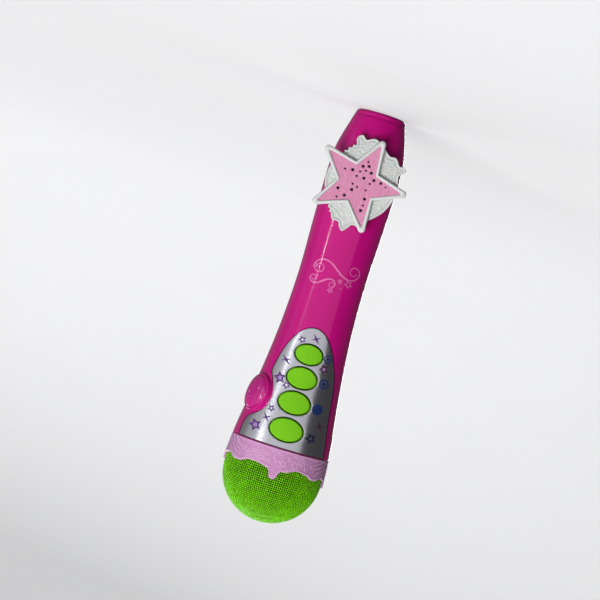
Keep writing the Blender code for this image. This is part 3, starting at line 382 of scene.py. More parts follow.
def bridge(shape, here, following, closed=True):
    """Joins two rows of vertices with faces; a row of one vertex is a tip."""
    count = max(len(here), len(following))
    for i in range(count if closed else count - 1):
        k = (i + 1) % count
        corners = [here[i % len(here)], here[k % len(here)]]
        corners += [following[k % len(following)], following[i % len(following)]]
        corners = without_repeats(corners)
        if len(corners) > 2:
            shape.faces.new(corners)


def bridge_all(shape, rows, hollow=False):
    """Joins each row of vertices to the next; then the last to the first if hollow, else caps both."""
    for here, following in zip(rows, rows[1:] + rows[:1] if hollow else rows[1:]):
        bridge(shape, here, following)
    if not hollow:
        for row in (rows[0], rows[-1]):
            if len(row) > 1:
                shape.faces.new(row)


def turned(section, start=0.0, sweep=360.0, steps=96):
    """The closed solid of a (radius, height) section turned round the Z axis."""
    shape = bmesh.new()
    whole = sweep == 360.0
    columns = steps if whole else steps + 1
    rows = []
    for radius, height in section:
        turns = [start + sweep * i / steps for i in range(columns if radius > TINY else 1)]
        rows.append([shape.verts.new(on_ring(turn, radius, height)) for turn in turns])
    for here, following in zip(rows, rows[1:] + rows[:1]):
        bridge(shape, here, following, closed=whole)
    if not whole:
        shape.faces.new(without_repeats([row[0] for row in rows]))
        shape.faces.new(without_repeats([row[-1] for row in rows]))
    return facing_out(shape)


def stacked(place, rings, hollow=False):
    """The solid between rings of (across, up, out) points; a ring of one point closes to a tip."""
    shape = bmesh.new()
    bridge_all(shape, [[shape.verts.new(place @ Vector(p)) for p in ring] for ring in rings], hollow)
    return facing_out(shape)


def at_level(outline, level):
    return [(a, b, level) for a, b in outline]


def prism(place, outline, low, high):
    return stacked(place, [at_level(outline, low), at_level(outline, high)])


def lathe(place, section, steps=48):
    """A (radius, out) section turned about a frame's third axis; radius 0 gives a tip."""
    rings = [at_level(circle(radius, steps) if radius > TINY else [(0.0, 0.0)], w) for radius, w in section]
    return stacked(place, rings, hollow=all(radius > TINY for radius, _ in section))


def merged(shapes):
    """One mesh of several shapes that don't touch."""
    result = bmesh.new()
    for shape in shapes:
        mesh = bpy.data.meshes.new("merged")
        shape.to_mesh(mesh)
        shape.free()
        result.from_mesh(mesh)
        bpy.data.meshes.remove(mesh)
    return result


def put(name, data):
    """A new object in the scene."""
    item = bpy.data.objects.new(name, data)
    bpy.context.scene.collection.objects.link(item)
    return item


def combine(shape, tool, operation):
    """The Boolean DIFFERENCE, UNION or INTERSECT of two shapes, which it uses up."""
    objects = []
    for piece in (shape, tool):
        mesh = bpy.data.meshes.new("operand")
        piece.to_mesh(mesh)
        piece.free()
        objects.append(put("operand", mesh))
    modifier = objects[0].modifiers.new("combine", "BOOLEAN")
    modifier.operation = operation
    modifier.object = objects[1]
    result = bmesh.new()
    result.from_object(objects[0], bpy.context.evaluated_depsgraph_get())
    for operand in objects:
        mesh = operand.data
        bpy.data.objects.remove(operand)
        bpy.data.meshes.remove(mesh)
    return result


def cut(shape, *tools):
    for tool in tools:
        shape = combine(shape, tool, "DIFFERENCE")
    return shape


def join(shape, *tools):
    for tool in tools:
        shape = combine(shape, tool, "UNION")
    return shape


def wall(middle, half_angle, low, high, inner_lift, outer_lift, steps, rows, edge=0.0):
    """A stretch of the handle's wall between two lifts; `edge` rounds off its outer rim."""
    step = math.degrees(max(edge, 0.05) / body_radius((low + high) / 2))
    drops = ((0.0, edge), (0.35, 0.35 * edge), (1.0, 0.0))
    columns = [(middle - half_angle + s * step, d) for s, d in drops]
    inner_columns = spread(middle - half_angle + step, middle + half_angle - step, steps)[1:-1]
    columns += [(a, 0.0) for a in inner_columns]
    columns += [(middle + half_angle - s * step, d) for s, d in reversed(drops)]
    reach = max(edge, 0.05)
    heights = [(low + s * reach, d) for s, d in drops]
    heights += [(z, 0.0) for z in spread(low + reach, high - reach, rows)[1:-1]]
    heights += [(high - s * reach, d) for s, d in reversed(drops)]
    shape = bmesh.new()
    lines = []
    for angle, column_drop in columns:
        section = [(body_radius(z) + outer_lift - max(d, column_drop), z) for z, d in heights]
        section += [(body_radius(z) + inner_lift, z) for z in spread(high, low, 12)]
        lines.append([shape.verts.new(on_ring(angle, radius, z)) for radius, z in section])
    bridge_all(shape, lines)
    return facing_out(shape)


def triangulated(boundaries, spacing):
    """Triangles of the flat area inside the first outline and outside the others.

    Returns the 2D points, the triangles and, for every boundary, its points' numbers. A grid of points
    fills the area but for a margin along the boundaries; `batch` bounds the distances worked out at once.
    """
    row_share, margin, batch = 0.866, 0.55 * spacing, 200
    outer, holes = boundaries[0], boundaries[1:]
    edge_points = np.array([p for loop in boundaries for p in loop])
    low, high = edge_points.min(0), edge_points.max(0)
    grid_x = np.arange(low[0], high[0], spacing)
    grid_y = np.arange(low[1], high[1], spacing * row_share)
    fill = np.array([(x + 0.5 * spacing * (j % 2), y) for j, y in enumerate(grid_y) for x in grid_x])
    fill = fill[inside(fill, outer)]
    for hole in holes:
        fill = fill[~inside(fill, hole)]
    for i in range(0, len(edge_points), batch):
        fill = fill[distances(fill, edge_points[i:i + batch]) > margin]
    points = [Vector(p) for p in np.vstack([edge_points, fill])]
    edges, loops, first = [], [], 0
    for loop in boundaries:
        numbers = list(range(first, first + len(loop)))
        edges += [(a, b) for a, b in zip(numbers, numbers[1:] + numbers[:1])]
        loops.append(numbers)
        first += len(loop)
    found = geometry.delaunay_2d_cdt(points, edges, [], 1, 1e-7)
    back = {}
    for number, originals in enumerate(found[3]):
        for original in originals:
            back[original] = number
    flat = np.array([tuple(p) for p in found[0]])
    triangles = np.array(found[2])
    middles = flat[triangles].mean(1)
    keep = inside(middles, outer)
    for hole in holes:
        keep &= ~inside(middles, hole)
    loops = [[back[n] for n in numbers] for numbers in loops]
    return flat, triangles[keep], loops


def sheet_solid(place, outline, holes, rim, bottom, spacing, relief=None):
    """A plate with a shaped top, rounded edges and a plain back.

    `place` turns (a, b, level) into a point. `rim` lists (distance from the edge, level) from the top
    inwards to the edge itself; `bottom` is the back's level.
    """
    top_inset = rim[0][0]
    boundaries = [grown(outline, -top_inset)] + [grown(hole, top_inset) for hole in holes]
    flat, triangles, loops = triangulated(boundaries, spacing)
    shape = bmesh.new()
    levels = relief(flat, loops) if relief else np.zeros(len(flat))
    top = [shape.verts.new(place(x, y, rim[0][1] + level)) for (x, y), level in zip(flat, levels)]
    for a, b, c in triangles:
        shape.faces.new((top[a], top[b], top[c]))
    edges = []
    for n, (numbers, loop) in enumerate(zip(loops, [outline, *holes])):
        side = -1.0 if n == 0 else 1.0
        previous = [top[i] for i in numbers]
        for inset, level in [*rim[1:], (rim[-1][0], bottom)]:
            ring = [shape.verts.new(place(x, y, level)) for x, y in grown(loop, side * inset)]
            bridge(shape, previous, ring)
            previous = ring
        edges.append(previous)
    flat, triangles, loops = triangulated([outline, *holes], spacing * 4)
    base = [None] * len(flat)
    for numbers, ring in zip(loops, edges):
        for i, vertex in zip(numbers, ring):
            base[i] = vertex
    for i, (x, y) in enumerate(flat):
        base[i] = base[i] or shape.verts.new(place(x, y, bottom))
    for a, b, c in triangles:
        shape.faces.new((base[c], base[b], base[a]))
    return facing_out(shape)


# ---- materials ---------------------------------------------------------------------------------------

class Paint:
    """A node material with one Principled shader."""

    def __init__(self, name, colour, roughness, metallic=0.0, coat=0.0, specular=0.5):
        self.material = bpy.data.materials.new(name)
        self.material.use_nodes = True
        self.tree = self.material.node_tree
        self.shader = self.tree.nodes["Principled BSDF"]
        self.set("Base Color", (*colour, 1.0))
        self.set("Roughness", roughness)
        self.set("Metallic", metallic)
        self.set("Coat Weight", coat)
        self.set("Coat Roughness", 0.04)
        self.set("Specular IOR Level", specular)
        self.colour, self.roughness = colour, roughness
        self.place = self.add("ShaderNodeTexCoord").outputs["Object"]

    def set(self, socket, value):
        self.shader.inputs[socket].default_value = value

    def add(self, kind, **settings):
        node = self.tree.nodes.new(kind)
        for key, value in settings.items():
            setattr(node, key, value)
        return node

    def link(self, output, target):
        self.tree.links.new(output, target)
        return self

    def noise(self, per_metre, detail=2.0, roughness=0.5, stretch=(1.0, 1.0, 1.0)):
        """A 0 to 1 noise with so many features per metre."""
        mapping = self.add("ShaderNodeMapping")
        mapping.inputs["Scale"].default_value = stretch
        node = self.add("ShaderNodeTexNoise")
        for socket, value in (("Scale", per_metre), ("Detail", detail), ("Roughness", roughness)):
            node.inputs[socket].default_value = value
        self.link(self.place, mapping.inputs["Vector"])
        self.link(mapping.outputs["Vector"], node.inputs["Vector"])
        return node.outputs["Fac"]

    def cells(self, per_metre):
        """The distance to the nearest of so many cell centres per metre."""
        node = self.add("ShaderNodeTexVoronoi")
        node.inputs["Scale"].default_value = per_metre
        self.link(self.place, node.inputs["Vector"])
        return node.outputs["Distance"]

    def ramp(self, value, *stops):
        """Colours or greys at (position, colour) stops."""
        node = self.add("ShaderNodeValToRGB")
        line = node.color_ramp.elements
        while len(line) < len(stops):
            line.new(0.5)
        for element, (position, colour) in zip(line, stops):
            element.position = position
            if isinstance(colour, (int, float)):
                colour = (colour, colour, colour)
            element.color = (*colour, 1.0)
        self.link(value, node.inputs["Fac"])
        return node.outputs["Color"]

    def math(self, operation, a, b):
        node = self.add("ShaderNodeMath", operation=operation)
        for socket, value in zip(node.inputs, (a, b)):
            if isinstance(value, (int, float)):
                socket.default_value = value
            else:
                self.link(value, socket)
        return node.outputs["Value"]

    def mix(self, share, first, second):
        node = self.add("ShaderNodeMix", data_type="RGBA")
        for socket, value in ((node.inputs[0], share), (node.inputs[6], first), (node.inputs[7], second)):
            if isinstance(value, (int, float)):
                socket.default_value = value
            elif isinstance(value, tuple):
                socket.default_value = (*value, 1.0)
            else:
                self.link(value, socket)
        return node.outputs[2]

    def attribute(self, name):
        return self.add("ShaderNodeAttribute", attribute_name=name).outputs["Fac"]

    def colour_from(self, output):
        return self.link(output, self.shader.inputs["Base Color"])

    def roughness_from(self, output):
        return self.link(output, self.shader.inputs["Roughness"])

    def bump(self, height, strength, distance_mm):
        node = self.add("ShaderNodeBump")
        node.inputs["Strength"].default_value = strength
        node.inputs["Distance"].default_value = distance_mm * MM
        self.link(height, node.inputs["Height"])
        previous = self.shader.inputs["Normal"]
        if previous.is_linked:
            self.link(previous.links[0].from_socket, node.inputs["Normal"])
        return self.link(node.outputs["Normal"], self.shader.inputs["Normal"])

    def glow(self, colour, strength):
        self.set("Emission Color", (*colour, 1.0))
        self.set("Emission Strength", strength)

    def mottled(self, darker, lighter, per_metre=60.0):
        """A slow drift of the colour between two multiples of it."""
        dark = tuple(c * darker for c in self.colour)
        light = tuple(min(c * lighter, 1.0) for c in self.colour)
        return self.colour_from(self.ramp(self.noise(per_metre, 3.0), (0.3, dark), (0.7, light)))

    def worn(self, per_metre=350.0):
        """Roughness that varies a little, as on handled plastic."""
        low, high = max(self.roughness - 0.06, 0.02), self.roughness + 0.06
        return self.roughness_from(self.ramp(self.noise(per_metre, 4.0, 0.6), (0.3, low), (0.75, high)))


def moulded(name, colour, roughness, texture=0.25, specular=0.5):
    """Moulded plastic: slow colour drift, faint orange peel and a few finer pits."""
    paint = Paint(name, colour, roughness, specular=specular)
    paint.mottled(0.94, 1.04)
    paint.worn()
    paint.bump(paint.noise(220.0, 1.0), 0.12 * texture, 0.3)
    paint.bump(paint.noise(2600.0, 3.0), 0.35 * texture, 0.02)
    return paint


def make_magenta():
    return moulded("magenta_gloss", (0.58, 0.003, 0.215), 0.12, 0.12, specular=0.24)


def make_power_magenta():
    """Clear-coated magenta with fine glitter under the surface; its flakes are painted pale pink as painted
    glints.
    """
    paint = Paint("magenta_glitter", (0.52, 0.004, 0.20), 0.12, coat=0.15, specular=0.4)
    # painted glints: the glitter's flakes, a random share of small cells, painted pale pink
    flakes = paint.ramp(paint.cells(560.0), (0.0, 1.0), (0.17, 1.0), (0.23, 0.0))
    some = paint.ramp(paint.noise(420.0, 0.0), (0.48, 0.0), (0.56, 1.0))
    mask = paint.math("MULTIPLY", flakes, some)
    base = paint.ramp(paint.noise(90.0, 2.0), (0.3, (0.50, 0.003, 0.21)), (0.7, (0.62, 0.006, 0.27)))
    paint.colour_from(paint.mix(mask, base, (0.90, 0.35, 0.68)))
    return paint


def make_lime():
    return moulded("lime_gloss", (0.195, 0.60, 0.004), 0.26, 0.4, specular=0.22)


def make_mesh_green():
    paint = Paint("mesh_green_paint", (0.19, 0.65, 0.003), 0.42, specular=0.2)
    paint.mottled(0.75, 1.15, 400.0)
    paint.bump(paint.noise(5000.0, 2.0), 0.3, 0.02)
    return paint


def make_foam():
    paint = Paint("foam_dark_green", (0.014, 0.05, 0.001), 1.0, specular=0.1)
    paint.mottled(0.4, 1.6, 1500.0)
    paint.bump(paint.cells(2200.0), 0.8, 0.3)
    return paint


def make_lilac():
    """Pink lilac with painted shade, darker violet down in the relief, and painted light on its crests."""
    paint = Paint("lilac_satin", (0.62, 0.31, 0.56), 0.36, specular=0.4)
    # painted shade in the relief's hollows and painted light on its crests, read from its height
    base = paint.ramp(paint.attribute("relief"), (0.0, (0.27, 0.06, 0.19)), (0.45, (0.57, 0.25, 0.50)),
                      (0.8, (0.66, 0.34, 0.60)), (1.0, (0.70, 0.40, 0.64)))
    paint.colour_from(base)
    paint.worn(500.0)
    paint.bump(paint.noise(2400.0, 3.0), 0.2, 0.03)
    return paint


def make_white():
    """Cool white with faint tints, painted shade in the relief's hollows and painted light on its crests.
    """
    paint = Paint("white_satin", (0.62, 0.65, 0.63), 0.36, specular=0.4)
    # painted shade in the relief's hollows and painted light on its crests, read from its height
    base = paint.ramp(paint.attribute("relief"), (0.0, (0.40, 0.43, 0.42)), (0.45, (0.68, 0.71, 0.69)),
                      (1.0, (0.80, 0.83, 0.81)))
    tint = paint.ramp(paint.noise(300.0, 2.0), (0.38, (0.66, 0.58, 0.61)), (0.5, (0.62, 0.64, 0.62)),
                      (0.62, (0.53, 0.66, 0.58)))
    paint.colour_from(paint.mix(0.4, base, tint))
    paint.worn(500.0)
    paint.bump(paint.noise(2400.0, 3.0), 0.2, 0.03)
    return paint


def make_star_white():
    return moulded("white_rim", (0.74, 0.76, 0.75), 0.34, 0.5, specular=0.4)


def make_pink():
    """Matte pink with a fine sparkling speckle."""
    paint = Paint("pink_speckled", (0.66, 0.25, 0.41), 0.5, specular=0.3)
    speckle = paint.ramp(paint.noise(1700.0, 2.0, 0.7), (0.38, 0.0), (0.62, 1.0))
    base = paint.mix(speckle, (0.67, 0.23, 0.40), (0.78, 0.33, 0.52))
    paint.colour_from(base)
    paint.bump(paint.noise(2600.0, 2.0), 0.6, 0.05)
    return paint


def make_silver():
    """Silver sprayed plastic: fine metallic flakes in a smooth coat."""
    paint = Paint("silver_spray", (0.42, 0.42, 0.47), 0.25, metallic=0.97)
    flakes = paint.noise(5000.0, 2.0, 0.6)
    paint.colour_from(paint.ramp(flakes, (0.3, (0.39, 0.39, 0.43)), (0.7, (0.47, 0.47, 0.52))))
    paint.bump(flakes, 0.06, 0.02)
    return paint


def make_ink(name, colour):
    paint = Paint(name, colour, 0.4)
    paint.mottled(0.8, 1.2, 700.0)
    paint.bump(paint.noise(4000.0, 2.0), 0.2, 0.01)
    return paint


def make_board():
    """Green solder mask over copper tracks."""
    paint = Paint("board_mask", (0.01, 0.13, 0.05), 0.35, coat=0.3)
    tracks = paint.add("ShaderNodeTexBrick")
    settings = {"Scale": 260.0, "Mortar Size": 0.09, "Brick Width": 1.3, "Row Height": 0.45}
    for socket, value in settings.items():
        tracks.inputs[socket].default_value = value
    paint.link(paint.place, tracks.inputs["Vector"])
    paint.colour_from(paint.mix(tracks.outputs["Fac"], (0.01, 0.13, 0.05), (0.03, 0.30, 0.10)))
    paint.bump(tracks.outputs["Fac"], 0.4, 0.05)
    return paint


def make_metal(name, colour, roughness):
    """Metal with a directional grain."""
    paint = Paint(name, colour, roughness, metallic=1.0)
    grain = paint.noise(900.0, 3.0, 0.6, stretch=(1.0, 1.0, 12.0))
    dark = tuple(c * 0.8 for c in colour)
    paint.colour_from(paint.ramp(grain, (0.3, dark), (0.7, colour)))
    paint.roughness_from(paint.ramp(grain, (0.3, roughness - 0.06), (0.7, roughness + 0.1)))
    paint.bump(grain, 0.15, 0.02)
    return paint


def make_cell_wrap():
    """Plain blue foil sleeve."""
    paint = Paint("cell_sleeve", (0.02, 0.06, 0.30), 0.28, metallic=0.3, coat=0.3)
    paint.mottled(0.8, 1.2, 200.0)
    paint.bump(paint.noise(300.0, 2.0), 0.1, 0.1)
    return paint


def make_matte(name, colour, roughness=0.7, per_metre=800.0, depth=0.08):
    paint = Paint(name, colour, roughness)
    paint.mottled(0.75, 1.2, per_metre)
    paint.bump(paint.noise(per_metre * 2.5, 3.0, 0.6), 0.5, depth)
    return paint


def make_floor():
    paint = Paint("pale_floor", (0.40, 0.40, 0.405), 0.75, specular=0.0)
    paint.glow((0.98, 0.985, 1.0), 0.43)
    paint.mottled(0.99, 1.01, 8.0)
    paint.bump(paint.noise(120.0, 3.0), 0.05, 0.3)
    return paint


PAINT_OF_SLOT = {
    "magenta": make_magenta(),
    "power_magenta": make_power_magenta(),
    "lime": make_lime(),
    "mesh_green": make_mesh_green(),
    "lilac": make_lilac(),
    "silver": make_silver(),
    "white": make_white(),
    "pink": make_pink(),
    "silicone": make_matte("silicone", (0.52, 0.52, 0.49), 0.6),
    "board_green": make_board(),
    "black_plastic": moulded("black_plastic", (0.018, 0.018, 0.02), 0.42, 1.0),
    "can_blue": moulded("capacitor_sleeve", (0.02, 0.04, 0.20), 0.35),
    "steel": make_metal("zinc_plated_steel", (0.58, 0.57, 0.54), 0.3),
    "ferrite": make_matte("ferrite", (0.05, 0.05, 0.055), 0.6),
    "paper": make_matte("black_paper", (0.025, 0.025, 0.025), 0.9, 1600.0, 0.12),
    "inner_white": moulded("inner_white", (0.66, 0.66, 0.62), 0.45, 0.8),
    "cell_wrap": make_cell_wrap(),
    "foam": make_foam(),
    "rubber": make_matte("black_rubber", (0.02, 0.02, 0.02), 0.8),
    "aluminium": make_metal("capsule_aluminium", (0.72, 0.72, 0.72), 0.35),
    "red_wire": moulded("red_insulation", (0.45, 0.01, 0.01), 0.4),
    "black_wire": moulded("black_insulation", (0.012, 0.012, 0.012), 0.4),
    "grey_wire": moulded("grey_insulation", (0.22, 0.22, 0.23), 0.4),
}
PAINTS = {slot: paint.material for slot, paint in PAINT_OF_SLOT.items()}
SLOT_OF = {part["node"]: part["material_slot"] for part in frame["record"]["subparts"]}


def add_piece(name, shape, nodes, slot=None, body=BODY, paint=None, sharp_angle=40.0, relief=None):
    """Adds a shape, in millimetres, as a piece that stands for CAD nodes and rides on a body."""
    bmesh.ops.scale(shape, verts=shape.verts, vec=(MM, MM, MM))
    mesh = bpy.data.meshes.new(name)
    shape.to_mesh(mesh)
    shape.free()
    if relief is not None:
        mesh.attributes.new("relief", "FLOAT", "POINT").data.foreach_set("value", relief(mesh))
    slot = slot or SLOT_OF[nodes[0]]
    mesh.materials.append(paint or PAINTS[slot])
    mesh.shade_smooth()
    mesh.set_sharp_from_angle(angle=math.radians(sharp_angle))
    piece = put(name, mesh)
    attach(piece, body)
    if nodes:
        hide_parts(*nodes)
    return piece


# ---- handle ------------------------------------------------------------------------------------------

def panel_outline():
    """The panel's outline seen from the front: (across, height), anticlockwise."""
    side = smooth_line(PANEL_SIDE, 6)
    bite = smooth_line(PANEL_BITE, 6)
    points = [tuple(p) for p in side + bite[1:]]
    return [(a, PANEL_TOP if b == PANEL_SIDE[0][1] else b) for a, b in points]


def button_hole_cutters():
    holes = []
    for height, half_width, half_height in BUTTONS:
        outline = ellipse(half_width + SHELL_HOLE_GROWTH, half_height + SHELL_HOLE_GROWTH, 72)
        holes.append(prism(button_frame(height), outline, -8.0, 8.0))
    return merged(holes)


def panel_recess():
    """The space that the panel and its clearance take out of the handle; it is open at the top."""
    outline = panel_outline()
    top = max(b for _, b in outline) + GAP - 0.05
    outline = [(a, b + 3.0 if b > top else b) for a, b in grown(outline, GAP)]
    half_angle, low, high = 74.0, 104.0, 174.0
    region = wall(0.0, half_angle, low, high, -RECESS_DEPTH, 4.0, 72, 40)
    return combine(region, prism(front_frame(), outline, 2.0, 40.0), "INTERSECT")


def shell_half(middle):
    """One of the handle's two halves, with a fine seam between them."""
    return wall(middle, 89.5, SHELL_BOTTOM, SHELL_TOP, -WALL, 0.0, 110, 120, edge=0.22)


def add_handle_front():
    drum = front_frame(0.0, DRUM_HEIGHT)
    shape = shell_half(0.0)
    shape = join(shape, prism(drum, circle(DRUM_RADIUS, 96), 4.2, DRUM_FRONT))
    shape = cut(
        shape,
        prism(drum, circle(DRUM_BORE, 96), 3.4, DRUM_FRONT + 1.0),
        panel_recess(),
        button_hole_cutters(),
        prism(power_frame(), circle(POWER_HOLE, 72), -6.0, 8.0),
    )
    add_piece("handle_front", shape, ["front_shell"], sharp_angle=30.0)


def stepped_hole(place, bottom, floor, wide, top):
    """A screw's narrow hole up to a floor and a wider one above it."""
    steps = ((SCREW_HOLE, bottom), (SCREW_HOLE, floor), (wide, floor), (wide, top))
    return stacked(place, [at_level(circle(radius, 40), level) for radius, level in steps])


def screw_well(across, height):
    return stepped_hole(rear_frame(across, height), -1.0, SCREW_FLOOR, SCREW_HEAD + 0.4, 40.0)


def add_handle_back():
    shape = shell_half(180.0)
    low, high = SHELL_BOTTOM + 0.5, SHELL_TOP - 0.5
    section = [(body_radius(z) - 0.7, z) for z in spread(low, high, 50)]
    inner = turned([(0.0, low), *section, (0.0, high)], steps=90)
    round_tower = circle(TOWER_RADIUS, 40)
    towers = merged([prism(rear_frame(x, z), round_tower, 0.15, 30.0) for x, z in SHELL_SCREWS])
    towers = combine(towers, inner, "INTERSECT")
    half = DOOR_HALF_ANGLE + 1.0
    section = rectangle(10.0, DOOR_LOW - GAP, 30.0, DOOR_HIGH + GAP)
    opening = turned(section, 180.0 - half, 2 * half, 60)
    shape = cut(join(shape, towers), opening, merged([screw_well(x, z) for x, z in SHELL_SCREWS]))
    add_piece("handle_back", shape, ["rear_shell"], sharp_angle=30.0)


def add_seam_lip():
    """The tongue inside the wall that closes the seam between the two halves on either side."""
    heights = spread(SHELL_BOTTOM + 0.5, SHELL_TOP - 0.5, 90)
    section = [(body_radius(z) - 0.8, z) for z in heights]
    section += [(body_radius(z) - 1.9, z) for z in reversed(heights)]
    halves = [turned(section, start, 4.0, 4) for start in (88.0, 268.0)]
    add_piece("seam_lip", merged(halves), [], slot="magenta")


def add_butt():
    """The butt's rounded disc with a ring that plugs into the shells."""
    plug = body_radius(SHELL_BOTTOM) - WALL - GAP
    rim, rounding, top = body_radius(SHELL_BOTTOM) - 0.12, 1.9, SHELL_BOTTOM - 0.08
    section = [(0.0, 0.6), (5.0, 0.6), (5.3, 0.45), (5.5, 0.1), (5.7, 0.0), (rim - rounding - 0.25, 0.0)]
    for turn in spread(0.0, 90.0, 12):
        at = math.radians(turn)
        section.append((rim - rounding - 0.25 + rounding * math.sin(at), rounding * (1.0 - math.cos(at))))
    section += [(rim, top - 0.1), (rim - 0.12, top), (plug, top), (plug, 6.0), (plug - 1.5, 6.0),
                (plug - 1.5, 2.2), (0.0, 2.2)]
    add_piece("butt_cap", turned(section, steps=120), ["end_cap"], sharp_angle=50.0)


def cross_head_screw(place, seat, tip, height=1.5):
    """A pan-head screw with a cross recess, its seat at one level and its tip below it."""
    section = [(0.0, seat + height)]
    for turn in spread(15.0, 90.0, 6):
        at = math.radians(turn)
        section.append((SCREW_HEAD * math.sin(at), seat + height * (0.45 + 0.55 * math.cos(at))))
    section += [(SCREW_HEAD, seat), (SCREW_SHANK, seat), (SCREW_SHANK, tip + 1.2), (0.0, tip)]
    arms = [prism(place, rectangle(-a, -b, a, b), seat + height - 0.7, seat + height + 1.0)
            for a, b in ((1.25, 0.28), (0.28, 1.25))]
    return cut(lathe(place, section, 36), *arms)


def add_shell_screws():
    for number, (across, height) in enumerate(SHELL_SCREWS, 1):
        shape = cross_head_screw(rear_frame(across, height), SCREW_FLOOR + GAP, -6.2)
        add_piece(f"handle_screw_{number}", shape, [f"shell_screw_{number}"])


def add_battery_door():
    place = rear_frame(0.0, DOOR_SCREW_HEIGHT)
    shape = wall(180.0, DOOR_HALF_ANGLE, DOOR_LOW, DOOR_HIGH, -WALL, 0.0, 50, 50, edge=0.3)
    shape = join(shape, prism(place, circle(3.0, 40), 14.1, 16.4))
    well = stepped_hole(place, 10.0, DOOR_SCREW_FLOOR, SCREW_HEAD + 0.3, 30.0)
    groove = rounded_polygon(rectangle(-4.0, -0.5, 4.0, 0.5), [0.45] * 4, 6)
    grip = merged([prism(rear_frame(0.0, z), groove, 16.2, 30.0) for z in GRIP_HEIGHTS])
    add_piece("door_panel", cut(shape, well, grip), ["battery_door"], body="battery_door", sharp_angle=30.0)
    screw = cross_head_screw(place, DOOR_SCREW_FLOOR + GAP, 7.0, 1.2)
    add_piece("door_panel_screw", screw, ["door_screw"], body="battery_door")


# ---- control panel and its buttons -------------------------------------------------------------------

def button_rim(height, half_width, half_height, growth):
    """An oval round a button, seen from the front as (across, height), where it meets the panel."""
    place = button_frame(height)
    outline = ellipse(half_width + growth, half_height + growth, 72)
    points = [place @ Vector((a, b, surface_depth(place, a, b, 0.1))) for a, b in outline]
    return [(p.x, p.z) for p in points]


def add_panel():
    outline = resampled(panel_outline(), 0.8)
    holes = [button_rim(*button, PANEL_HOLE_GROWTH) for button in BUTTONS]
    rim = ((0.28, 0.1), (0.12, 0.05), (0.03, -0.05), (0.0, -0.2))
    shape = sheet_solid(on_front, outline, holes, rim, -PANEL_THICKNESS, 1.0)
    panel = add_piece("panel_silver", shape, ["control_panel"], sharp_angle=50.0)
    follow_body(panel, [outline] + holes)


def follow_body(piece, edges):
    """Turns the shading of a piece's front, but for its edges, to the handle's smooth curve."""
    margin = 0.35
    directions = []
    edge = np.array([point for loop in edges for point in loop])
    for vertex in piece.data.vertices:
        x, y, z = vertex.co / MM
        slope = (body_radius(z + 0.05) - body_radius(z - 0.05)) / 0.1
        outward = Vector((x, y, -math.hypot(x, y) * slope)).normalized()
        near_edge = np.hypot(edge[:, 0] - x, edge[:, 1] - z).min() < margin
        if near_edge or math.hypot(x, y) < body_radius(z) - 0.2:
            outward = Vector()
        directions.append(outward)
    piece.data.normals_split_custom_set_from_vertices(directions)


def add_effect_buttons():
    """Oval keys that follow the body's curve, with a rolled edge and a faint dish inside it."""
    steps = 96
    # the key is hollow from below but for a round post in its middle
    hollow_top, post = -2.4, 2.2
    profile = ((0.0, 0.12), (0.3, 0.11), (0.55, 0.07), (0.74, 0.02), (0.84, 0.02), (0.9, 0.04), (0.94, 0.0),
               (0.965, -0.09), (0.985, -0.22), (0.996, -0.38), (1.0, -0.55))
    for number, (height, half_width, half_height) in enumerate(BUTTONS, 1):
        place = button_frame(height)
        rings = []
        for share, lift in profile:
            if share == 0.0:
                rings.append([(0.0, 0.0, surface_depth(place, 0.0, 0.0, BUTTON_LIFT + lift))])
                continue
            outline = ellipse(half_width * share, half_height * share, steps)
            rings.append([(a, b, surface_depth(place, a, b, BUTTON_LIFT + lift)) for a, b in outline])
        node = f"effect_button_{number}"
        depth = (place.translation - KEY_PLANE_POINT).dot(place.col[2].to_3d())
        skirt = -depth
        foot = skirt - 1.2
        flange = ((0.0, 0.0, skirt), (1.2, 0.8, skirt), (1.2, 0.8, foot), (-1.3, -1.3, foot),
                  (-1.3, -1.3, hollow_top))
        for wider, higher, level in flange:
            rings.append(at_level(ellipse(half_width + wider, half_height + higher, steps), level))
        rings += [at_level(circle(post, steps), hollow_top), at_level(circle(post, steps), foot)]
        rings.append([(0.0, 0.0, foot)])
        add_piece(f"key_{number}", stacked(place, rings), [node], body=node, sharp_angle=45.0)


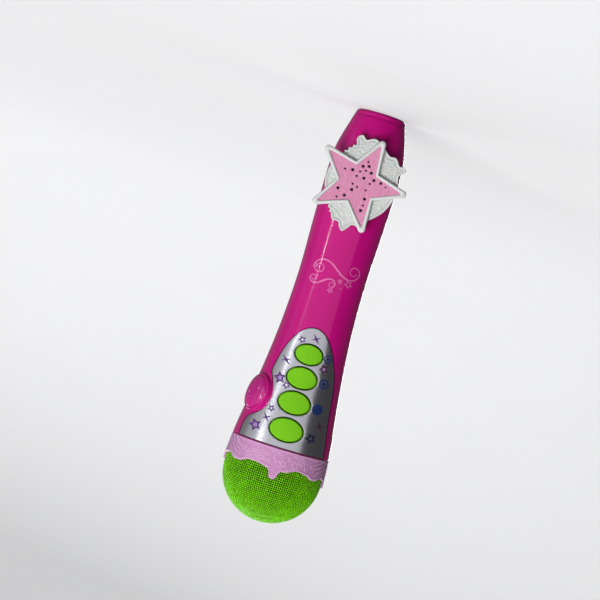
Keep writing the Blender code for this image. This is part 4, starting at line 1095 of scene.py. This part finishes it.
def add_power_group():
    """The raised ring and the domed button in it: one bulge that half follows the handle's curve."""
    place = power_frame()
    steps = 120
    key, bore = 8.15, 8.3
    # the rim's height over the handle, the ring's own height, and how far the bulge follows the handle
    edge, ring_height, follow = 1.7, 0.9, 0.3

    def ring_at(radius, lift):
        """A circle whose height follows the handle's curve by a part of it."""
        outline = circle(radius, steps)
        return [(a, b, edge + lift + follow * surface_depth(place, a, b, 0.0)) for a, b in outline]

    def on_surface(radius, lift):
        """A circle that lies on the handle, lifted a little."""
        return [(a, b, surface_depth(place, a, b, lift)) for a, b in circle(radius, steps)]

    foot = ((BEZEL_FOOT + 1.0, -0.3), (BEZEL_FOOT + 0.9, 0.06), (BEZEL_RADIUS, 0.3))
    rings = [on_surface(radius, lift) for radius, lift in foot]
    shoulder = bore + 0.12
    for turn in spread(0.0, 90.0, 10):
        at = math.radians(turn)
        radius = shoulder + (BEZEL_RADIUS - shoulder) * math.cos(at)
        rings.append(ring_at(radius, ring_height * (math.sin(at) - 1.0)))
    rings += [ring_at(bore, -0.1), on_surface(bore, -0.4)]
    add_piece("power_ring", stacked(place, rings, hollow=True), ["power_bezel"], sharp_angle=60.0)

    top = BEZEL_FACE + POWER_DOME - edge
    rings = [[(0.0, 0.0, edge + top)]]
    for share in spread(0.06, 0.96, 20):
        rings.append(ring_at(key * share, top * (1.0 - share**DOME_FLATNESS)))
    for share, lift in ((0.98, 0.0), (0.993, -0.07), (1.0, -0.2)):
        rings.append(ring_at(key * share, lift))
    for radius, level in ((key, -4.2), (key - 1.2, -4.2), (key - 1.2, -1.6), (1.8, -1.6), (1.8, -5.0)):
        rings.append(at_level(circle(radius, steps), level))
    rings.append([(0.0, 0.0, -5.0)])
    add_piece("power_key", stacked(place, rings), ["power_button"], body="power_button", sharp_angle=50.0)


# ---- star and lace plate -----------------------------------------------------------------------------

def flat_front(across, height):
    """A function that places (a, b, level) points in the front frame with that centre."""
    place = front_frame(across, height)
    return lambda a, b, level: place @ Vector((a, b, level))


def far_from_edge(flat, loops):
    """The distance of each point from the first boundary."""
    edge = np.array([tuple(flat[i]) for i in loops[0]])
    batch = 50
    return np.min([distances(flat, edge[i:i + batch]) for i in range(0, len(edge), batch)], axis=0)


def lace_relief(flat, loops):
    """Heights of the lace: a beaded hem round the edge, a groove, then knotted bumps and curls."""
    far = far_from_edge(flat, loops)
    result = np.zeros(len(flat))
    for i, (x, y) in enumerate(flat):
        hem = math.exp(-((far[i] - 0.12) / 0.42) ** 2)
        groove = math.exp(-((far[i] - 0.95) / 0.38) ** 2)
        near, second = noise.voronoi(Vector((x, y, 0.0)) * 0.62)[0][:2]
        knots = clamp(1.15 - 1.7 * near) * ease((second - near) * 3.0)
        swirl = noise.noise(Vector((x * 0.3, y * 0.3, 3.0)))
        curls = 1.0 - abs(math.sin(1.9 * math.hypot(x, y) + 6.0 * swirl))
        fade = ease((far[i] - 0.7) / 0.6)
        result[i] = 0.16 * hem - 0.2 * groove + fade * (0.26 * knots + 0.2 * curls**2 - 0.14)
    return result


def relief_share(low, high):
    """A function that reads a mesh's relief as a share between two levels in front of the axis."""
    def read(mesh):
        co = np.zeros(len(mesh.vertices) * 3, np.float32)
        mesh.vertices.foreach_get("co", co)
        level = -co.reshape(-1, 3)[:, 1] / MM
        return np.clip((level - low) / (high - low), 0.0, 1.0).astype(np.float32)
    return read


def add_lace_plate():
    outline = [tuple(p) for p in reversed(smooth_line(LACE_OUTLINE, 8, closed=True))]
    hole = circle(SOUND_OPENING, 72, STAR_CENTRE[0], STAR_CENTRE[1] - DRUM_HEIGHT)
    rounding = ((0.3, 0.0), (0.12, 0.1), (0.03, 0.28), (0.0, 0.55))
    rim = [(inset, PLATE_FRONT - drop) for inset, drop in rounding]
    shape = sheet_solid(flat_front(0.0, DRUM_HEIGHT), outline, [hole], rim, PLATE_BACK, 0.27, lace_relief)
    # the relief share also paints the white's shade in the hollows and its light on the crests
    add_piece("lace_frill", shape, ["lace_plate"], sharp_angle=60.0,
              relief=relief_share(PLATE_FRONT - 0.3, PLATE_FRONT + 0.25))


def add_star():
    place = front_frame(*STAR_CENTRE)
    outer = star(STAR_TIP, STAR_INNER, STAR_ROUNDING, 0.8)
    window = star(GRILLE_TIP, GRILLE_INNER, 0.5, 0.5)
    profile = [(0.0, STAR_BACK), (0.0, STAR_FRONT - 1.0)]
    for turn in spread(20.0, 160.0, 11):
        at = math.radians(turn)
        profile.append((0.5 - 0.5 * math.cos(at), STAR_FRONT - 1.0 + math.sin(at)))
    profile += [(1.0, STAR_FRONT - 1.0), (1.0, STAR_BACK)]
    rings = []
    for share, level in profile:
        ring = [(a + (c - a) * share, b + (d - b) * share, level) for (a, b), (c, d) in zip(outer, window)]
        rings.append(ring)
    rim_shape = stacked(place, rings, hollow=True)
    add_piece("star_rim", rim_shape, ["star_frame"], paint=make_star_white().material, sharp_angle=60.0)

    plate = resampled(grown(window, 0.05), 0.6)
    holes = [circle(radius, 20, a, b) for a, b, radius in SOUND_HOLES]
    rim = ((0.12, GRILLE_FRONT), (0.04, GRILLE_FRONT - 0.05), (0.0, GRILLE_FRONT - 0.16))
    shape = sheet_solid(flat_front(*STAR_CENTRE), plate, holes, rim, STAR_BACK + 0.15, 0.7)
    add_piece("star_mesh_plate", shape, ["star_grille"], sharp_angle=50.0)
    cloth = prism(place, grown(window, -0.2), STAR_BACK - 0.05, STAR_BACK + 0.12)
    add_piece("star_dust_cloth", cloth, [], slot="paper")


# ---- head --------------------------------------------------------------------------------------------

def outline_ridge(x, y, reach, tips, depth, sharp):
    """A ridge along a flower's (soft) or a star's (sharp) outline round the origin."""
    turn = math.atan2(y, x) / (2 * math.pi) * tips % 1.0
    wave = 4.0 * abs(turn - 0.5) - 1.0 if sharp else math.cos(2 * math.pi * turn)
    return math.exp(-(((math.hypot(x, y) - reach * (1.0 + depth * wave)) / 0.34) ** 2))


def swirl_ridge(x, y, reach):
    """A ridge along a small spiral round the origin."""
    pitch = 1.25
    out = math.hypot(x, y)
    phase = (out / pitch - math.atan2(y, x) / (2 * math.pi)) % 1.0
    return math.exp(-(((phase - 0.5) * pitch / 0.32) ** 2)) * ease((reach - out) * 2.0)


# embossed motifs round the collar: (angle, height above its foot, reach, kind)
COLLAR_MOTIFS = tuple(
    (angle + turn, up, reach, kind)
    for turn in (0.0, 180.0)
    for angle, up, reach, kind in (
        (-44, 4.0, 1.5, "swirl"), (-36, 6.0, 1.3, "swirl"), (-30, 3.4, 1.6, "flower"),
        (-22, 5.6, 1.5, "star"), (-14, 3.2, 1.5, "swirl"), (-8, 6.2, 1.3, "star"),
        (-1, 4.0, 2.1, "star"), (8, 6.4, 1.2, "swirl"),
        (11, 3.2, 1.2, "swirl"), (19, 5.2, 2.0, "flower"), (29, 3.6, 1.6, "swirl"), (35, 6.0, 1.3, "star"),
        (43, 4.2, 1.7, "swirl"), (88, 5.0, 2.0, "flower"), (96, 3.6, 1.3, "swirl"), (-92, 4.8, 1.9, "star"),
        (-84, 3.4, 1.2, "swirl"),
    )
)


def collar_relief(angle, share, height):
    """Embossed height, 0 to 1, of the collar's face: stars, flowers and curls, with pleats at the sides."""
    arc_length = math.radians(angle) * COLLAR_RADIUS
    wander = noise.noise(Vector((arc_length * 0.35, height * 0.5, 7.0)))
    fine = noise.noise(Vector((arc_length * 1.1, height * 1.1, 2.0)))
    level = 0.58 + 0.3 * (math.exp(-((wander / 0.07) ** 2)) - 0.3) + 0.12 * fine
    cover, raised = 0.0, 0.0
    for centre, up, reach, kind in COLLAR_MOTIFS:
        off = (angle - centre + 180.0) % 360.0 - 180.0
        x, y = math.radians(off) * COLLAR_RADIUS, height - COLLAR_BOTTOM - up
        if abs(x) > 3.6:
            continue
        if kind == "star":
            ridge = outline_ridge(x, y, reach, 5, 0.3, True)
        elif kind == "flower":
            ridge = max(outline_ridge(x, y, reach, 5, 0.26, False), math.exp(-((x * x + y * y) / 0.35)))
        else:
            ridge = swirl_ridge(x, y, reach)
        raised = max(raised, ridge)
        cover = max(cover, ease((reach + 0.9 - math.hypot(x, y)) / 0.8))
    level = level * (1.0 - cover) + cover * (0.5 + 0.5 * raised)
    arc = abs((angle + 180.0) % 360.0 - 180.0)
    arc = min(arc, 180.0 - arc)
    pleated = ease((arc - 44.0) / 10.0) * ease((86.0 - arc) / 8.0)
    bend = noise.noise(Vector((arc_length * 0.12, height * 0.3, 5.0)))
    phase = (height + 0.5 * math.radians(arc) * COLLAR_RADIUS + 1.6 * bend) / 2.3
    pleats = 1.0 - abs(math.sin(math.pi * phase)) ** 0.6
    level = level * (1.0 - pleated) + pleated * (0.92 - 0.9 * pleats)
    ends = ease(share / 0.1) * ease((1.0 - share) / 0.08)
    hem = math.exp(-(((1.0 - share) * 9.0 - 0.5) / 0.5) ** 2)
    band = math.exp(-(((share - 0.05) / 0.05) ** 2))
    return clamp(0.55 * (1.0 - ends) + level * ends + 0.4 * hem + 0.25 * band)


def add_collar():
    columns, rows, depth = 880, 50, 0.42
    shape = bmesh.new()
    lines, reliefs = [], []
    for i in range(columns):
        angle = 360.0 * i / columns
        top = collar_edge(angle)
        line = []
        for share in spread(0.0, 1.0, rows):
            height = COLLAR_BOTTOM + (top - COLLAR_BOTTOM) * share
            full = COLLAR_FOOT + (COLLAR_RADIUS - COLLAR_FOOT) * min((height - COLLAR_BOTTOM) / 12.0, 1.0)
            raised = collar_relief(angle, share, height)
            rounding = 0.35 * max(0.0, 1.0 - (1.0 - share) / 0.03) + 0.2 * max(0.0, 1.0 - share / 0.03)
            line.append(shape.verts.new(on_ring(angle, full - depth * (1.0 - raised) - rounding, height)))
            reliefs.append(raised)
        for share in spread(1.0, 0.0, 6):
            height = COLLAR_BOTTOM + (top - COLLAR_BOTTOM) * share
            reach = math.sqrt(max(HEAD_RADIUS**2 - (height - HEAD_CENTRE) ** 2, 0.0))
            line.append(shape.verts.new(on_ring(angle, max(reach + 0.12, 22.3), height)))
            reliefs.append(0.6)
        lines.append(line)
    bridge_all(shape, lines, hollow=True)
    # the relief also paints the lilac's shade in the hollows and its light on the crests
    values = np.array(reliefs, np.float32)
    add_piece("collar_lace", facing_out(shape), ["collar"], sharp_angle=70.0, relief=lambda mesh: values)


def tube(shape, path, radius, closed):
    """Adds a thin four-sided tube along points; each point comes with its outward direction."""
    sides = 4
    rings = []
    count = len(path)
    for i, (point, outward) in enumerate(path):
        following = path[(i + 1) % count][0] if closed or i < count - 1 else point
        before = path[i - 1][0] if closed or i > 0 else point
        along = (following - before).normalized()
        across = along.cross(outward).normalized()
        ring = []
        for k in range(sides):
            turn = 2 * math.pi * (k + 0.5) / sides
            direction = outward * math.cos(turn) + across * math.sin(turn)
            ring.append(shape.verts.new(point + direction * radius))
        rings.append(ring)
    bridge_all(shape, rings, hollow=closed)


def add_mesh_head():
    """A woven net over the ball: wires up the ball and wires round it, passing over and under."""
    wire, weave = 0.215, 0.14
    middle = HEAD_RADIUS - wire - weave
    columns = 144
    pitch = 2 * math.pi / columns
    low = math.asin((MESH_BOTTOM + wire - HEAD_CENTRE) / middle)
    # the number of wires halves where they would come too close: (latitude in degrees, every nth wire)
    zones = ((-90.0, 1), (58.0, 2), (74.5, 4), (84.0, 8))
    tops = [math.radians(z) for z, _ in zones[1:]] + [math.radians(87.5)]

    def at(turn, latitude, offset):
        outward = Vector((math.cos(latitude) * math.sin(turn), -math.cos(latitude) * math.cos(turn),
                          math.sin(latitude)))
        return Vector((0.0, 0.0, HEAD_CENTRE)) + outward * (middle + offset), outward

    uprights = bmesh.new()
    for column in range(columns):
        keeps = [top for top, (_, every) in zip(tops, zones) if column % every == 0]
        end = keeps[-1]
        steps = int((end - low) / pitch * 2)
        path = []
        for i in range(steps + 1):
            latitude = low + i * pitch / 2
            side = 1.0 if column % 2 else -1.0
            path.append(at(column * pitch, latitude, weave * side * math.cos(math.pi * i / 2)))
        tube(uprights, path, wire, closed=False)
    add_piece("head_wires_up", facing_out(uprights), ["mesh_grille"], sharp_angle=180.0)

    rounds = bmesh.new()
    latitude, number = low + pitch / 2, 0
    while latitude < tops[-1]:
        every = [n for (start, n) in zones if math.radians(start) <= latitude][-1]
        count = columns // every
        side = 1.0 if number % 2 else -1.0
        path = []
        for i in range(2 * count):
            path.append(at(i * math.pi / count, latitude, weave * side * math.cos(math.pi * i / 2)))
        tube(rounds, path, wire, closed=True)
        latitude += pitch
        number += 1
    add_piece("head_wires_round", facing_out(rounds), [], slot="mesh_green", sharp_angle=180.0)


def add_foam():
    radius = HEAD_RADIUS - 1.4
    low = box("grille_foam")[0].z
    start = math.asin((low - HEAD_CENTRE) / radius)
    turns = spread(start, math.pi / 2, 40)
    section = [(radius * math.cos(t), HEAD_CENTRE + radius * math.sin(t)) for t in turns]
    section[-1] = (0.0, HEAD_CENTRE + radius)
    section += [(0.0, 182.5), (6.8, 182.5), (6.8, low)]
    add_piece("foam_ball", turned(section, steps=96), ["grille_foam"], sharp_angle=60.0)


# ---- prints ------------------------------------------------------------------------------------------

INK_COLOURS = {
    "purple": (0.085, 0.012, 0.17), "lilac": (0.40, 0.26, 0.58), "white": (0.74, 0.72, 0.80),
    "navy": (0.01, 0.012, 0.05), "blue": (0.008, 0.026, 0.13), "wine": (0.07, 0.012, 0.05),
    "light_pink": (0.72, 0.16, 0.42),
}
INKS = {ink: make_ink(f"ink_{ink}", colour).material for ink, colour in INK_COLOURS.items()}
PANEL_INKS = ("purple", "lilac", "white", "navy", "blue", "wine")
INK_THICKNESS = 0.03
# stars on the panel: (outline ink, fill ink, across, height, reach, turn in degrees, line width)
PRINTED_STARS = (
    ("purple", "lilac", 15.0, 160.8, 2.75, 10.0, 0.75), ("purple", "white", 9.8, 151.0, 1.6, 30.0, 0.55),
    ("purple", "white", 6.2, 138.4, 1.75, 22.0, 0.5), ("purple", "lilac", 10.2, 135.9, 2.7, 0.0, 0.8),
    ("purple", "white", 5.2, 115.4, 1.7, 12.0, 0.5), ("navy", None, -12.4, 159.6, 2.5, 12.0, 0.8),
    ("wine", "lilac", -8.9, 126.1, 2.1, 15.0, 0.65),
)
# sparkles on the panel: (ink, across, height, reach, turn and second turn in degrees)
PRINTED_SPARKLES = (
    ("purple", 10.9, 155.8, 2.7, -52.0, 28.0), ("purple", 9.8, 126.8, 3.1, -42.0, 24.0),
    ("purple", -1.2, 113.3, 2.9, -50.0, 26.0), ("wine", -14.9, 152.9, 2.7, -60.0, 20.0),
)


def on_panel(across, height, lift=0.0):
    """Places print points, given round a centre seen from the front, on the panel."""
    return lambda a, b, top: on_front(across + a, height + b, 0.1 + lift + INK_THICKNESS * top)


def on_handle(across, height):
    """Places print points, given round a centre seen from the front, on the handle."""
    return lambda a, b, top: on_front(across + a, height + b, INK_THICKNESS * top)


def stroke(shape, place, line, half_widths, closed=False):
    """Adds a thin raised stroke along a line of (across, up) points."""
    line = [Vector(p) for p in line]
    count = len(line)
    rows = []
    for i, (point, half) in enumerate(zip(line, half_widths)):
        ahead = line[(i + 1) % count] if closed else line[min(i + 1, count - 1)]
        behind = line[i - 1] if closed else line[max(i - 1, 0)]
        first, second = (ahead - point), (point - behind)
        along = (first.normalized() + second.normalized()).normalized()
        side = Vector((-along.y, along.x))
        at_end = min(first.length, second.length) < TINY
        mitre = 1.0 if at_end else max(along.dot(first.normalized()), 0.45)
        left, right = point + side * half / mitre, point - side * half / mitre
        corners = ((left, 0.0), (left, 1.0), (right, 1.0), (right, 0.0))
        rows.append([shape.verts.new(place(p.x, p.y, top)) for p, top in corners])
    bridge_all(shape, rows, hollow=closed)


def patch(shape, place, outline):
    """Adds a filled print: rings that shrink towards the outline's middle."""
    rings = [(0.0, 0.0), (1.0, 0.0), (1.0, 1.0), (0.75, 1.0), (0.5, 1.0), (0.25, 1.0), (0.0, 1.0)]
    rows = []
    for share, top in rings:
        points = outline if share else [(0.0, 0.0)]
        rows.append([shape.verts.new(place(a * share, b * share, top)) for a, b in points])
    bridge_all(shape, rows)


def star_line(reach, turn, spacing=0.35):
    return resampled(star_corners(reach, reach * 0.5, turn), spacing)


def outline_print(shape, place, line, width):
    stroke(shape, place, line, [width / 2] * len(line), closed=True)


def star_print(shapes, outline_ink, fill_ink, across, height, reach, turn, width):
    line = star_line(reach - width / 2, turn)
    outline_print(shapes[outline_ink], on_panel(across, height), line, width)
    if fill_ink:
        patch(shapes[fill_ink], on_panel(across, height, -0.5 * INK_THICKNESS), line)


def sparkle_print(shape, across, height, reach, turn, cross):
    """Two crossing slivers, the second a little shorter."""
    for at, length, half in ((turn, reach, 0.55), (cross, reach * 0.82, 0.42)):
        direction = Vector((math.cos(math.radians(at)), math.sin(math.radians(at))))
        shares = spread(-1.0, 1.0, 13)
        line = [direction * (t * length) for t in shares]
        halves = [half * (1.0 - abs(t)) ** 1.1 + 0.05 for t in shares]
        stroke(shape, on_panel(across, height), line, halves)


def add_print_pieces(name, shapes, slot):
    for ink, shape in shapes.items():
        add_piece(f"{name}_{ink}", facing_out(shape), [], slot=slot, paint=INKS[ink])


def add_panel_prints():
    """Small stars, sparkles and rings screen-printed on the panel."""
    shapes = {ink: bmesh.new() for ink in PANEL_INKS}
    for star_values in PRINTED_STARS:
        star_print(shapes, *star_values)
    for ink, *sparkle_values in PRINTED_SPARKLES:
        sparkle_print(shapes[ink], *sparkle_values)
    patch(shapes["blue"], on_panel(-11.5, 145.5), circle(2.6, 32))
    for across, height, radius, width, dot in ((-11.0, 133.0, 2.4, 0.7, 1.0), (-9.4, 121.0, 2.1, 0.6, 0.8)):
        outline_print(shapes["blue"], on_panel(across, height), circle(radius - width / 2, 32), width)
        patch(shapes["blue"], on_panel(across, height), circle(dot, 20))
    add_print_pieces("panel_print", shapes, "silver")


def double_spiral(width, turns):
    """Points of a double spiral, from curl to curl, and its share of the way from the middle at each.

    It is a spiral whose bend grows evenly along its length; `width` is a multiple of its scale.
    """
    count, width_in_scales = 160, 2.9
    bend = math.pi / (2.0 * (width / width_in_scales) ** 2)
    length = math.sqrt(4.0 * math.pi * turns / bend)
    step = length / count
    x = y = 0.0
    half = [(0.0, 0.0)]
    for i in range(count):
        heading = bend * ((i + 0.5) * step) ** 2 / 2 - math.pi / 4
        x, y = x + step * math.cos(heading), y + step * math.sin(heading)
        half.append((x, y))
    line = [(-a, -b) for a, b in reversed(half[1:])] + half
    return line, [abs(i - count) / count for i in range(2 * count + 1)]


def add_handle_flourish():
    """A plain scroll with small stars, printed in light pink below the panel."""
    shape = bmesh.new()
    scrolls = ((-1.0, 78.6, 24.0, 7.0, 1.0), (4.2, 85.6, 13.5, -6.0, -1.0))
    for across, height, width, lean, mirror in scrolls:
        line, shares = double_spiral(width, 1.35)
        turn = Matrix.Rotation(math.radians(lean), 2)
        line = [turn @ Vector((a, b * mirror)) for a, b in line]
        halves = [0.14 + 0.3 * (1.0 - t) ** 1.5 for t in shares]
        stroke(shape, on_handle(across, height), line, halves)
    stars = ((-8.2, 83.8, 1.7), (-3.9, 83.6, 1.0), (-0.6, 89.0, 1.2), (9.6, 79.4, 1.1))
    for across, height, reach in stars:
        outline_print(shape, on_handle(across, height), star_line(reach, 18.0, 0.3), 0.36)
    for across, height in ((-5.2, 86.9), (-3.0, 80.6), (6.6, 81.4)):
        patch(shape, on_handle(across, height), circle(0.3, 12))
    add_print_pieces("handle_flourish", {"light_pink": shape}, "magenta")


# ---- stage -------------------------------------------------------------------------------------------

def add_floor():
    """A round pale floor that curves up into a wall far round the object."""
    flat, wall_radius = 1.4, 3.0
    profile = [(0.0, 0.0), (0.2, 0.0), (0.6, 0.0), (1.0, 0.0), (flat, 0.0)]
    for turn in spread(4.0, 90.0, 20):
        at = math.radians(turn)
        rise = wall_radius - flat
        profile.append((flat + rise * math.sin(at), rise * (1.0 - math.cos(at))))
    profile += [(wall_radius, 2.4), (wall_radius, 3.4)]
    verts, faces, steps = [], [], 96
    for radius, height in profile:
        for i in range(steps):
            at = 2 * math.pi * i / steps
            verts.append((radius * math.cos(at), radius * math.sin(at), height))
    for j in range(len(profile) - 1):
        for i in range(steps):
            k = (i + 1) % steps
            faces.append((j * steps + i, j * steps + k, (j + 1) * steps + k, (j + 1) * steps + i))
    mesh = bpy.data.meshes.new("floor")
    mesh.from_pydata(verts, [], faces)
    mesh.materials.append(make_floor().material)
    mesh.shade_smooth()
    floor = put("floor", mesh)
    floor.visible_glossy = False
    floor.visible_diffuse = False
    floor.visible_shadow = False


# lamps, in metres and watts: (name, azimuth from the front towards +X, elevation, distance, width and
# height, power, lights matte surfaces, shows in glossy ones)
LAMPS = (
    ("softbox_front", -8.5, 6.0, 1.6, (2.5, 2.2), 15.5, False, True),
    ("softbox_side", 47.0, 6.0, 1.6, (0.98, 2.2), 6.2, False, True),
    ("softbox_far", 80.0, 6.0, 1.6, (0.92, 2.2), 2.8, False, True),
    ("strip_right", 55.0, 2.0, 1.4, (0.07, 1.3), 0.8, False, True),
    ("strip_low", 53.0, 3.5, 1.4, (0.045, 0.28), 1.5, False, True),
    ("strip_back", 191.0, 4.0, 1.5, (0.10, 1.4), 4.0, False, True),
    ("key", 16.0, 24.0, 2.3, (1.07, 1.07), 44.7, True, False),
    ("fill_left", 250.0, 36.0, 2.3, (1.5, 1.5), 8.5, True, False),
    ("ceiling", 0.0, 89.9, 2.7, (3.2, 3.2), 20.0, True, True),
    ("softbox_back", 165.0, 38.0, 2.4, (1.8, 1.5), 30.0, True, True),
)
LAMP_TARGET = Vector((0.0, 0.0, 0.1))


def add_light(name, azimuth, elevation, distance, size, power, diffuse, glossy):
    """A rectangular area light aimed at the microphone's middle."""
    light = bpy.data.lights.new(name, "AREA")
    light.shape = "RECTANGLE"
    light.size, light.size_y = size
    light.energy = power
    lamp = put(name, light)
    a, e = math.radians(azimuth), math.radians(elevation)
    back = Vector((math.sin(a) * math.cos(e), -math.cos(a) * math.cos(e), math.sin(e)))
    lamp.location = LAMP_TARGET + back * distance
    lamp.rotation_mode = "QUATERNION"
    lamp.rotation_quaternion = (-back).to_track_quat("-Z", "Y")
    lamp.visible_camera = False
    lamp.visible_diffuse = diffuse
    lamp.visible_glossy = glossy


def add_world():
    """A dim surround, brighter on the right, that only reflections and soft fill come from."""
    world = bpy.data.worlds.new("surround")
    world.use_nodes = True
    tree = world.node_tree
    place = tree.nodes.new("ShaderNodeTexCoord")
    split = tree.nodes.new("ShaderNodeSeparateXYZ")
    ramp = tree.nodes.new("ShaderNodeMapRange")
    for socket, value in {"From Min": -0.6, "From Max": 0.8, "To Min": 0.1, "To Max": 0.38}.items():
        ramp.inputs[socket].default_value = value
    tree.links.new(place.outputs["Generated"], split.inputs["Vector"])
    tree.links.new(split.outputs["X"], ramp.inputs["Value"])
    background = tree.nodes["Background"]
    tree.links.new(ramp.outputs["Result"], background.inputs["Color"])
    background.inputs["Strength"].default_value = 0.8
    bpy.context.scene.world = world


# the camera's place in metres, its lens in millimetres and its roll in degrees
CAMERA_PLACE = Vector((0.0118, -1.1, 0.0976))
CAMERA_LENS = 135.6
CAMERA_ROLL = 197.0


def add_camera():
    """A long lens that looks along +Y, rolled so that the head points down and to the left."""
    roll = math.radians(CAMERA_ROLL)
    right = Vector((math.cos(roll), 0.0, math.sin(roll)))
    up = Vector((-math.sin(roll), 0.0, math.cos(roll)))
    data = bpy.data.cameras.new("camera")
    data.lens = CAMERA_LENS
    data.sensor_width = 36.0
    data.clip_start, data.clip_end = 0.01, 20.0
    camera = put("camera", data)
    camera.matrix_world = Matrix((right, up, Vector((0.0, -1.0, 0.0)))).transposed().to_4x4()
    camera.location = CAMERA_PLACE
    bpy.context.scene.camera = camera


def paint_cad_nodes():
    """Gives every CAD node that stays its procedural material."""
    for node, item in frame["nodes"].items():
        paint = PAINTS[SLOT_OF[node]]
        for material_slot in item.material_slots:
            material_slot.material = paint


paint_cad_nodes()
add_handle_front()
add_handle_back()
add_seam_lip()
add_butt()
add_shell_screws()
add_battery_door()
add_panel()
add_effect_buttons()
add_power_group()
add_lace_plate()
add_star()
add_collar()
add_mesh_head()
add_foam()
add_panel_prints()
add_handle_flourish()
add_floor()
add_world()
for lamp_values in LAMPS:
    add_light(*lamp_values)
add_camera()
bpy.context.scene.view_settings.view_transform = "Standard"
